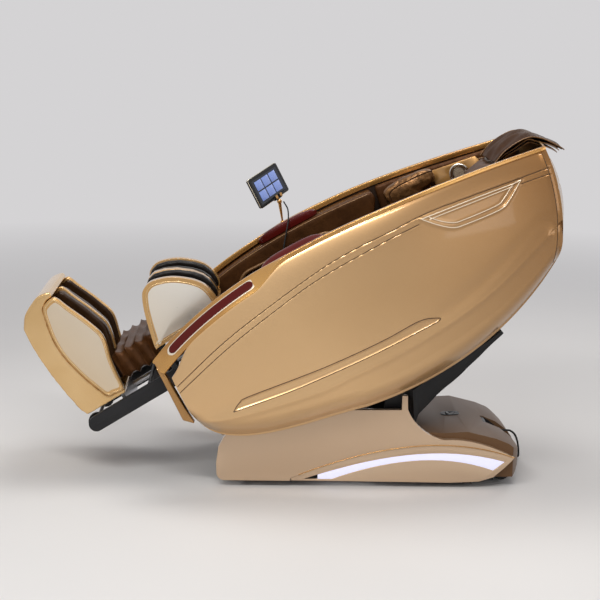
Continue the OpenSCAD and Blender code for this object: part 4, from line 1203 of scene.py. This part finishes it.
def oval(centre, a, b, turn, n=72):
    """Rounded oblong in the side view, turned by so many degrees."""
    c, s = math.cos(math.radians(turn)), math.sin(math.radians(turn))
    out = []
    for k in range(n):
        u, v = math.cos(2 * math.pi * k / n), math.sin(2 * math.pi * k / n)
        x, z = a * math.copysign(abs(u) ** 0.6, u), b * math.copysign(abs(v) ** 0.6, v)
        out.append((centre[0] + x * c - z * s, centre[1] + x * s + z * c))
    return out


BAG_RINGS = (((186, 942), 88, 26), ((178, 868), 82, 28))


def add_side_padding():
    """Padding on the walls' inner faces, and the shoulder bags with the piping round each chamber."""
    for side, mirror in SIDES:
        liner = padded_copy(f"side_padding_{side}", f"side_liner_{side}", 6, 6, BROWN, "cradle",
                            10 + mirror, 0.8)
        tree = skin_tree(liner)
        runs = []
        for drop in (26, 128):
            line = [rim_at(mix(0.66, 0.96, i / 40), -RIM_H) for i in range(41)]
            runs.append(side_face(tree, [(x + drop * 0.34, z - drop) for x, z in line], 0, -mirror))
        stitched(f"side_piping_{side}", [r for r in runs if len(r) > 3], 2.2, THREAD, "cradle")
        bags = remeshed(f"shoulder_bags_{side}", f"shoulder_airbag_{side}", 4.5, 6)
        wall = max(abs(v.co.y) for v in bags.data.vertices)
        swell(bags, 3.5, 7 * MM, lambda co: abs(co.y) > wall - 0.035)
        wrinkled(bags, 2.2 * MM, 0.035, 20 + mirror)
        dress(smooth(bags, 180), TAN, "cradle", [f"shoulder_airbag_{side}"])
        tree = skin_tree(bags)
        loops = [side_face(tree, oval(middle, a, b, 29), 0, -mirror) for middle, a, b in BAG_RINGS]
        stitched(f"bag_piping_{side}", [r + r[:1] for r in loops], 2.4, FLAP_HIDE, "cradle")


def soft_plate(name, outline, y0, y1, radius, segments=4):
    """Moulded or padded plate in the leg rest's own axes, with a full round edge."""
    return rounded(plate(name, metres(outline), y0 * MM, y1 * MM), radius * MM, segments, 50)


def shrunk(outline, step):
    """The outline drawn in by a constant distance."""
    out = []
    n = len(outline)
    area = sum(a[0] * b[1] - b[0] * a[1] for a, b in zip(outline, outline[1:] + outline[:1]))
    turn = 1 if area > 0 else -1
    for i in range(n):
        a, b = outline[i - 2], outline[(i + 2) % n]
        dx, dz = b[0] - a[0], b[1] - a[1]
        d = math.hypot(dx, dz) + 1e-9
        out.append((outline[i][0] - turn * dz / d * step, outline[i][1] + turn * dx / d * step))
    return out


CALF = ring_run([(-205, 18), (-194, 68), (-172, 142), (-150, 190), (-132, 206), (-106, 213), (-70, 205), (-30, 186),
                 (12, 152), (36, 122), (47, 92), (50, 60), (46, 42), (36, 30), (20, 19), (-90, 17), (-190, 16.5)], 4)
FOOT_LEAN = smooth_run([(-90, 0), (0, 0), (60, 2), (110, 13), (150, 15), (200, 0), (250, -22), (300, -42), (345, -52),
                        (400, -58)], 3)


def leaned(x, z):
    """The foot unit's front edge runs back towards its top, past a fuller middle."""
    for (z0, a), (z1, b) in zip(FOOT_LEAN, FOOT_LEAN[1:]):
        if z0 <= z <= z1:
            x += mix(a, b, (z - z0) / (z1 - z0)) * max(0.0, min(1.0, (x + 470) / 130))
            break
    return x, z - 16 * ease((z - 220) / 120)


FOOT = [leaned(x, z) for x, z in ring_run(
    [(-366, -44), (-400, -43), (-423, -38), (-438.6, 0), (-460.6, 70), (-474.6, 148), (-474.6, 207), (-462.6, 270),
     (-439, 328), (-400, 344), (-358, 347), (-341, 338), (-337, 300), (-344, 203), (-344, 143), (-350, 71), (-358, 6)],
    4)]


def domed_plate(name, outline, face, depth, bulge, mirror):
    """Crowned panel: rings drawn towards the middle while they rise out of the flank."""
    cx, cz = (sum(p[k] for p in outline) / len(outline) for k in (0, 1))
    rings = [(0, -depth), (0, -0.6), (0.006, 0)]
    rings += [(q, bulge * (1 - (1 - q) ** 2.4)) for q in (0.03, 0.07, 0.13, 0.22, 0.34, 0.48, 0.64, 0.80, 0.93)]
    loops = [placed(LEG, [(mix(x, cx, k), -(face + rise) * mirror, mix(z, cz, k)) for x, z in outline])
             for k, rise in rings]
    return loft(name, loops, angle=50)


def lean_back(piece):
    """Gives a copy of the foot unit's solid the same lean as its flanks."""
    back = LEG.inverted()
    for v in piece.data.vertices:
        x, y, z = (back @ v.co) / MM
        x, z = leaned(x, z)
        v.co = LEG @ (Vector((x, y, z)) * MM)
    return piece


def turned(piece, place):
    piece.data.transform(place)
    return piece


def add_cheeks(unit, body, outline, inner, outer, edge, margin, crown, bead):
    """A unit's two outer panels, each with its crowned inset and the bead round that."""
    panels, insets, beads = [], [], []
    line = shrunk(outline, margin)
    for mirror in (1, -1):
        panels.append(turned(soft_plate(f"{unit}_flank", outline, -outer * mirror, -inner * mirror, edge), LEG))
        insets.append(domed_plate(f"{unit}_inset", line, outer - 0.4, 3, crown, mirror))
        run = placed(LEG, [(x, -outer * mirror, z) for x, z in line])
        beads.append(tube("bead", run, bead * MM, closed=True, sides=2))
    dress(joined(f"{unit}_panels", panels), CAP_PAINT, body, [f"{unit}_flanks"])
    dress(joined(f"{unit}_insets", insets), IVORY_PAINT, body)
    dress(joined(f"{unit}_beads", beads), EDGE_GOLD, body)


CALF_MIDDLE, CALF_FULLNESS = Vector((-75, 0, 110)), 1.05


def add_leg_rest():
    add_cheeks("calf", "leg_rest", CALF, 176, 207, 9, 13, 3.2, 1.3)
    pads = padded_copy("calf_cushions", "calf_pads", 4.5, 6, BLACK_HIDE, "leg_rest", 31, 0.8)
    fuller = Matrix.Diagonal((CALF_FULLNESS, 1, CALF_FULLNESS, 1))
    pads.data.transform(LEG @ Matrix.Translation(CALF_MIDDLE * MM) @ fuller @ Matrix.Translation(CALF_MIDDLE * -MM)
                        @ LEG.inverted())
    eased("calf_ridge", "calf_divider", 7, 4, 50, CAP_PAINT, "leg_rest")
    eased("leg_rail_frame", "leg_frame", 2, 2, 35, BLACK_STEEL, "leg_rest")

    add_cheeks("foot", "foot_unit", FOOT, 178.5, 203, 7, 8, 3.4, 1.4)
    housing = smooth(lean_back(remeshed("sole_housing", "foot_housing", 5, 5)), 60)
    dress(housing, SOLE_GOLD, "foot_unit", ["foot_housing"])
    ridge = turned(soft_plate("foot_ridge", FOOT, -10, 10, 4), LEG)
    dress(ridge, CAP_PAINT, "foot_unit", ["foot_divider"])
    lean_back(padded_copy("foot_wells", "foot_liner", 4.5, 6, AMBER, "foot_unit", 33, 0.6))
    add_bellows()


def fold_section(half, z0, z1, radius, n=5):
    """Rounded section of the sleeve, with points at most 14 mm apart along its flats."""
    out = []
    for cy, cz, a0 in ((half - radius, z1 - radius, 0), (-half + radius, z1 - radius, 90),
                       (-half + radius, z0 + radius, 180), (half - radius, z0 + radius, 270)):
        for k in range(n + 1):
            a = math.radians(a0 + 90 * k / n)
            out.append((cy + radius * math.cos(a), cz + radius * math.sin(a)))
    dense = []
    for a, b in zip(out, out[1:] + out[:1]):
        steps = max(1, int(math.hypot(b[0] - a[0], b[1] - a[1]) / 14))
        dense += [between(a, b, k / steps) for k in range(steps)]
    return dense


def span_bodies(piece, finish, slot, cad, bodies, start, end):
    """Gives a soft sleeve whose ends lie on two bodies its finish, hides its CAD node and bakes its place into its
    mesh.
    """
    piece.data.materials.clear()
    piece.data.materials.append(finish)
    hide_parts(cad)
    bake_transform(piece)


SLEEVE_FOOT_END, SLEEVE_LEG_END = -349, -203.5
SLEEVE_ROWS, SLEEVE_PLEATS, SLEEVE_THICK = 70, 4, 2.2


def add_bellows():
    """Pleated leather sleeve between the calf unit and the foot unit."""
    loops = []
    for i in range(SLEEVE_ROWS + 1):
        s = i / SLEEVE_ROWS
        fold = 5.2 - 10.5 * abs(math.cos(math.pi * SLEEVE_PLEATS * s)) ** 0.8
        loop = []
        for y, z in fold_section(179 + fold, -24 - fold, 66 + fold, 14):
            wave = 2.2 * math.sin(y * 0.05 + s * 9) * math.sin(z * 0.06 + s * 5)
            loop.append(LEG @ (Vector((mix(SLEEVE_FOOT_END, SLEEVE_LEG_END, s), y + wave * 0.4, z + wave)) * MM))
        loops.append(loop)
    piece = loft("leg_sleeve", loops, capped=False, angle=80)
    modify(piece, "SOLIDIFY", thickness=SLEEVE_THICK * MM, offset=-1)
    span_bodies(smooth(piece, 70), BROWN, "brown_leather", "leg_bellows", ("leg_rest", "foot_unit"),
                *(LEG @ at(x, 0, 20) for x in (SLEEVE_LEG_END, SLEEVE_FOOT_END)))


BOOT_LOW = [(158, 187.5), (166, 187.2), (178, 236), (234, 302), (322, 384), (388, 455), (437, 505), (449, 518)]
BOOT_HIGH = [(157, 320), (230, 372), (330, 442), (399, 489), (440, 525)]


def along_line(line, s):
    """Point at a share of a line's length."""
    spans = [math.hypot(b[0] - a[0], b[1] - a[1]) for a, b in zip(line, line[1:])]
    left = s * sum(spans)
    for a, b, span in zip(line, line[1:], spans):
        if left <= span:
            return between(a, b, left / span)
        left -= span
    return line[-1]


BOOT_HALF, BOOT_ROWS, BOOT_PLEATS = 221, 96, 4


def add_boot():
    """Stretched black fabric under the shell, with slight folds, where the shell tilts over the base."""
    loops = []
    for i in range(BOOT_ROWS + 1):
        s = i / BOOT_ROWS
        low, high = along_line(BOOT_LOW, 0.035 + 0.96 * s), along_line(BOOT_HIGH, s)
        dx, dz = heading(low, high)
        depth = min(1.0, math.hypot(high[0] - low[0], high[1] - low[1]) / 30)
        fold = (0.8 - 1.6 * math.sin(math.pi * BOOT_PLEATS * s) ** 2) * depth * ease(s / 0.05)
        x0, z0 = low[0] - dx * fold, low[1] - dz * fold
        half = BOOT_HALF + fold
        hem = between((x0, z0), high, 0.04)
        loop = [(x0, half - 3, z0), (hem[0], half, hem[1])]
        loop += [(high[0], y, high[1]) for y in (half, half - 4, 4 - half, -half)]
        loop += [(hem[0], -half, hem[1]), (x0, 3 - half, z0)]
        loop += [(x0, mix(3 - half, half - 3, k / 12), z0) for k in range(1, 12)]
        loops.append([Vector(p) * MM for p in loop])
    span_bodies(loft("tilt_gaiter", loops, angle=80), BLACK_CLOTH, "black_leather", "tilt_boot", ("base", "cradle"),
                (0.165, 0, 0.186), (0.205, 0, 0.290))


SWITCH_X = 315
# half length, half width and height over the deck of each ring of the switch's frame
SWITCH_RINGS = ((16.5, 13.5, -1), (16.5, 13.5, 1.2), (17, 14, 1.6), (31, 23.5, 1.6), (31.8, 24.3, 1.0), (32, 24.5, -1))
TROUGH_SIDE = [(437, 110), (437, 161), (455, 152), (478, 134), (497, 108), (499, 90)]


def add_switch_plate(deck):
    """Frame round the power switch, laid on the deck; over the switch's opening it keeps the height beside it."""
    tree = skin_tree(deck)
    rows = []
    for half_x, half_y, lift in SWITCH_RINGS:
        row = []
        for x, y in oval((0, 0), half_x, half_y, 0, 48):
            beside = math.copysign(max(abs(y), 15.0), y) if abs(x) < 18.5 else y
            hit = tree.ray_cast(at(SWITCH_X + x, beside, 300), Vector((0, 0, -1)))
            row.append(Vector((hit[0].x, y * MM, hit[0].z + lift * MM)))
        rows.append(row)
    dress(loft("switch_plate", rows, capped=False, angle=40), BLACK_GLOSS, "base")


FENDER_SIDE, TROUGH_THICK = 262.2, 0.8


def add_base():
    for side, _ in SIDES:
        eased(f"base_shell_{side}", f"base_cover_{side}", 3.5, 4, 30, COVER_PAINT, "base")
    eased("base_skirt", "lower_panels", 1.6, 3, 30, COVER_PAINT, "base")
    deck = eased("deck_cover", "rear_deck", 3, 4, 30, DECK_PAINT, "base")
    fender = [bez(FENDER, i / 60) for i in range(2, 61)]
    stitched("fender_line", [metres((x, -FENDER_SIDE * mirror, z + 0.6) for x, z in fender) for mirror in (1, -1)], 1.5,
             RIM_GOLD, "base")
    eased("light_arc", "led_strips", 1.2, 3, 30, LED, "base")
    eased("inlet_bezel", "inlet_socket", 0.8, 2, 35, BLACK_PLASTIC, "base")
    add_switch_plate(deck)
    sides = [plate("trough_side", metres(TROUGH_SIDE), y * MM, (y + TROUGH_THICK) * MM) for y in (-38.6, 37.8)]
    dress(joined("trough_sides", sides), BLACK_PLASTIC, "base")


# ring radius, wire radius and how far it stands out, for the speaker's outer and inner rim
SPEAKER_RIMS = ((31.5, 3.6, 5.5), (23.5, 1.4, 5.0))


def add_fittings():
    # the front caps take the darker gold, which is painted shade
    eased("front_cap_pair", "front_caps", 5, 4, 30, SHADED_FRONT_GOLD, "cradle")
    eased("speaker_pod_pair", "speaker_pods", 5, 4, 40, CAP_PAINT, "cradle")
    rims = []
    for mirror in (1, -1):
        spot = [v.co for v in nodes["speaker_rings"].data.vertices if v.co.y * mirror < 0]
        middle = sum(spot, Vector()) / len(spot)
        turn = math.atan(half_width(middle.x / MM + 1) - half_width(middle.x / MM))
        for major, minor, out in SPEAKER_RIMS:
            deselect()
            bpy.ops.mesh.primitive_torus_add(major_segments=64, minor_segments=16, major_radius=major * MM,
                                             minor_radius=minor * MM)
            rim = bpy.context.object
            rim.data.transform(Matrix.Translation(middle + Vector((0, out * mirror, 0)) * MM)
                               @ Matrix.Rotation(-turn * mirror, 4, "Z") @ Matrix.Rotation(math.pi / 2, 4, "X"))
            rims.append(rim)
    dress(smooth(joined("speaker_rims", rims), 60), CHROME, "cradle")
    eased("clamp_foot", "tablet_clamp", 0.8, 2, 35, BLACK_PLASTIC, "cradle")
    eased("tablet_shell", "tablet_case", 1.8, 4, 40, BLACK_PLASTIC, "tablet")


TABLET = (Matrix.Translation(Vector((-277, 326, 868)) * MM) @ Matrix.Rotation(-math.radians(28), 4, "Y")
          @ Matrix.Rotation(math.radians(50), 4, "Z") @ Matrix.Translation(Vector((-18, 0, 15.3)) * MM))


TILE_SIZE, TILE_FIRST, TILE_PITCH = (38, 0.7, 34), (-46, -6.75, 35.5), (43, 39)
CLIP_SIZE, CLIP_PLACES = (11, 2.4, 13), ((5, -10.2, 4), (31, -10.2, 4))
# the metal edge: its corners' middles, their radius, the screen's middle height, points and wire radius
EDGE_HALF, EDGE_CORNER, EDGE_MIDDLE, EDGE_POINTS, EDGE_WIRE = (78.5, 47.5), 7.6, 55, 48, 1.5


def add_tablet():
    """Lit screen with its tiles, the metal edge and the two clips."""
    paint(SCREEN, "tablet_screen")
    x, y, z = TILE_FIRST
    tiles = [rounded(block("tile", TILE_SIZE, (x + TILE_PITCH[0] * col, y, z + TILE_PITCH[1] * row)), 0.3 * MM, 2)
             for row in range(2) for col in range(3)]
    dress(turned(joined("screen_tiles", tiles), TABLET), TILE, "tablet")
    edge = []
    for k in range(EDGE_POINTS):
        c, s = math.cos(2 * math.pi * k / EDGE_POINTS), math.sin(2 * math.pi * k / EDGE_POINTS)
        edge.append((math.copysign(EDGE_HALF[0], c) + EDGE_CORNER * c, -2.0,
                     EDGE_MIDDLE + math.copysign(EDGE_HALF[1], s) + EDGE_CORNER * s))
    rim = tube("tablet_rim", placed(TABLET, edge), EDGE_WIRE * MM, closed=True)
    dress(rim, METAL_EDGE, "tablet")
    clips = [rounded(block("clip", CLIP_SIZE, place), 0.9 * MM) for place in CLIP_PLACES]
    dress(turned(joined("clip_faces", clips), TABLET), RIM_GOLD, "tablet")


BACKDROP = (0.66, 0.65, 0.66)


FLOOR_TONES = ((0.72, 0.71, 0.70), (0.76, 0.75, 0.74))
FADE_START, FADE_END = 2.2, 6.2
AMBIENT, AMBIENT_STRENGTH = (0.80, 0.79, 0.82), 0.46
LAMP_COLOR = (1.0, 0.985, 0.96)
# name, place, aim, length and width, watts
LAMPS = (("key", (-1.1, -2.7, 3.2), (-0.1, 0, 0.5), (3.0, 0.35), 78),
         ("top", (-0.3, 0.3, 3.2), (0, 0, 0.6), (1.2, 1.2), 34),
         ("fill", (2.6, -2.6, 1.4), (0.1, 0, 0.6), (1.8, 1.8), 17),
         ("rear", (1.8, 2.6, 2.6), (0, 0, 0.6), (1.4, 1.4), 20))


def add_floor():
    """Floor that fades into the backdrop with distance and keeps the shadow."""
    deselect()
    bpy.ops.mesh.primitive_plane_add(size=40, location=(0, 0, -0.0005))
    floor = bpy.context.object
    floor.name = "floor"
    ground = Finish("studio_floor", (0.74, 0.73, 0.72), 0.75)
    ground.feed("Base Color", ground.blend(ground.grain(1.2, 2.0), *FLOOR_TONES))
    far = ground.ramp((ground.axis("X") ** 2 + ground.axis("Y") ** 2) ** 0.5, FADE_START, FADE_END)
    glow = ground.node("ShaderNodeEmission", {}, {"Color": (*BACKDROP, 1)})
    surface = Value(ground, ground.surface.outputs[0])
    fade = ground.node("ShaderNodeMixShader", {}, [ground.watched(far), surface, glow])
    ground.tree.links.new(fade.socket, ground.tree.nodes["Material Output"].inputs[0])
    floor.data.materials.append(ground.material)


def add_sky():
    """Even backdrop where the camera, a gloss or a glass looks, and a dimmer light from all round."""
    world = bpy.data.worlds.new("studio")
    bpy.context.scene.world = world
    world.use_nodes = True
    world.node_tree.nodes.clear()
    sky = Nodes(world.node_tree)
    seen = sky.node("ShaderNodeBackground", {}, {"Color": (*BACKDROP, 1)})
    lit = sky.node("ShaderNodeBackground", {}, {"Color": (*AMBIENT, 1), "Strength": AMBIENT_STRENGTH})
    share = sky.ray("Is Camera Ray")
    for name in ("Is Glossy Ray", "Is Transmission Ray"):
        share = sky.most(share, sky.ray(name))
    sky.node("ShaderNodeOutputWorld", {}, [sky.node("ShaderNodeMixShader", {}, [share, lit, seen])])


def add_lamps():
    for name, place, aim, size, power in LAMPS:
        lamp = bpy.data.lights.new(name, "AREA")
        lamp.shape = "RECTANGLE"
        lamp.size, lamp.size_y = size
        lamp.energy = power
        lamp.color = LAMP_COLOR
        light = bpy.data.objects.new(name, lamp)
        bpy.context.scene.collection.objects.link(light)
        light.location = place
        light.rotation_euler = (Vector(aim) - Vector(place)).to_track_quat("-Z", "Y").to_euler()


def add_stage():
    add_floor()
    add_sky()
    add_lamps()
    bpy.context.scene.view_settings.view_transform = "Standard"


def paint_the_rest():
    """Finishes of the parts that keep the solids' own shape."""
    paint(BLACK_STEEL, "base_chassis", "body_frame", "actuator_tube")
    paint(RUBBER, "rubber_feet", "transport_wheels", "rail_wheels", "inlet_connector", "mains_plug")
    paint(STEEL, "wheel_axle", "pivot_shaft", "actuator_rod", "guide_rails", "massage_carriage", "knee_shaft",
          "foot_slide")
    paint(BLACK_PLASTIC, "power_switch")
    paint(METAL_EDGE, "speaker_grilles")
    paint(BROWN, "massage_rollers")
    paint(BLACK_HIDE, "sole_rollers")
    paint(CHROME, "speaker_rings")
    paint(RIM_GOLD, "tablet_stand")
    for n in ("speaker_rings", "speaker_grilles", "tablet_stand", "massage_rollers", "transport_wheels",
              "rail_wheels", "actuator_tube", "actuator_rod", "pivot_shaft", "knee_shaft", "mains_plug",
              "inlet_connector", "sole_rollers"):
        smooth(nodes[n], 35)


add_shell()
add_back_shell()
add_rims()
add_armrests()
add_cushions()
add_head_flap()
add_side_padding()
add_leg_rest()
add_boot()
add_base()
add_fittings()
add_tablet()
paint_the_rest()
add_stage()
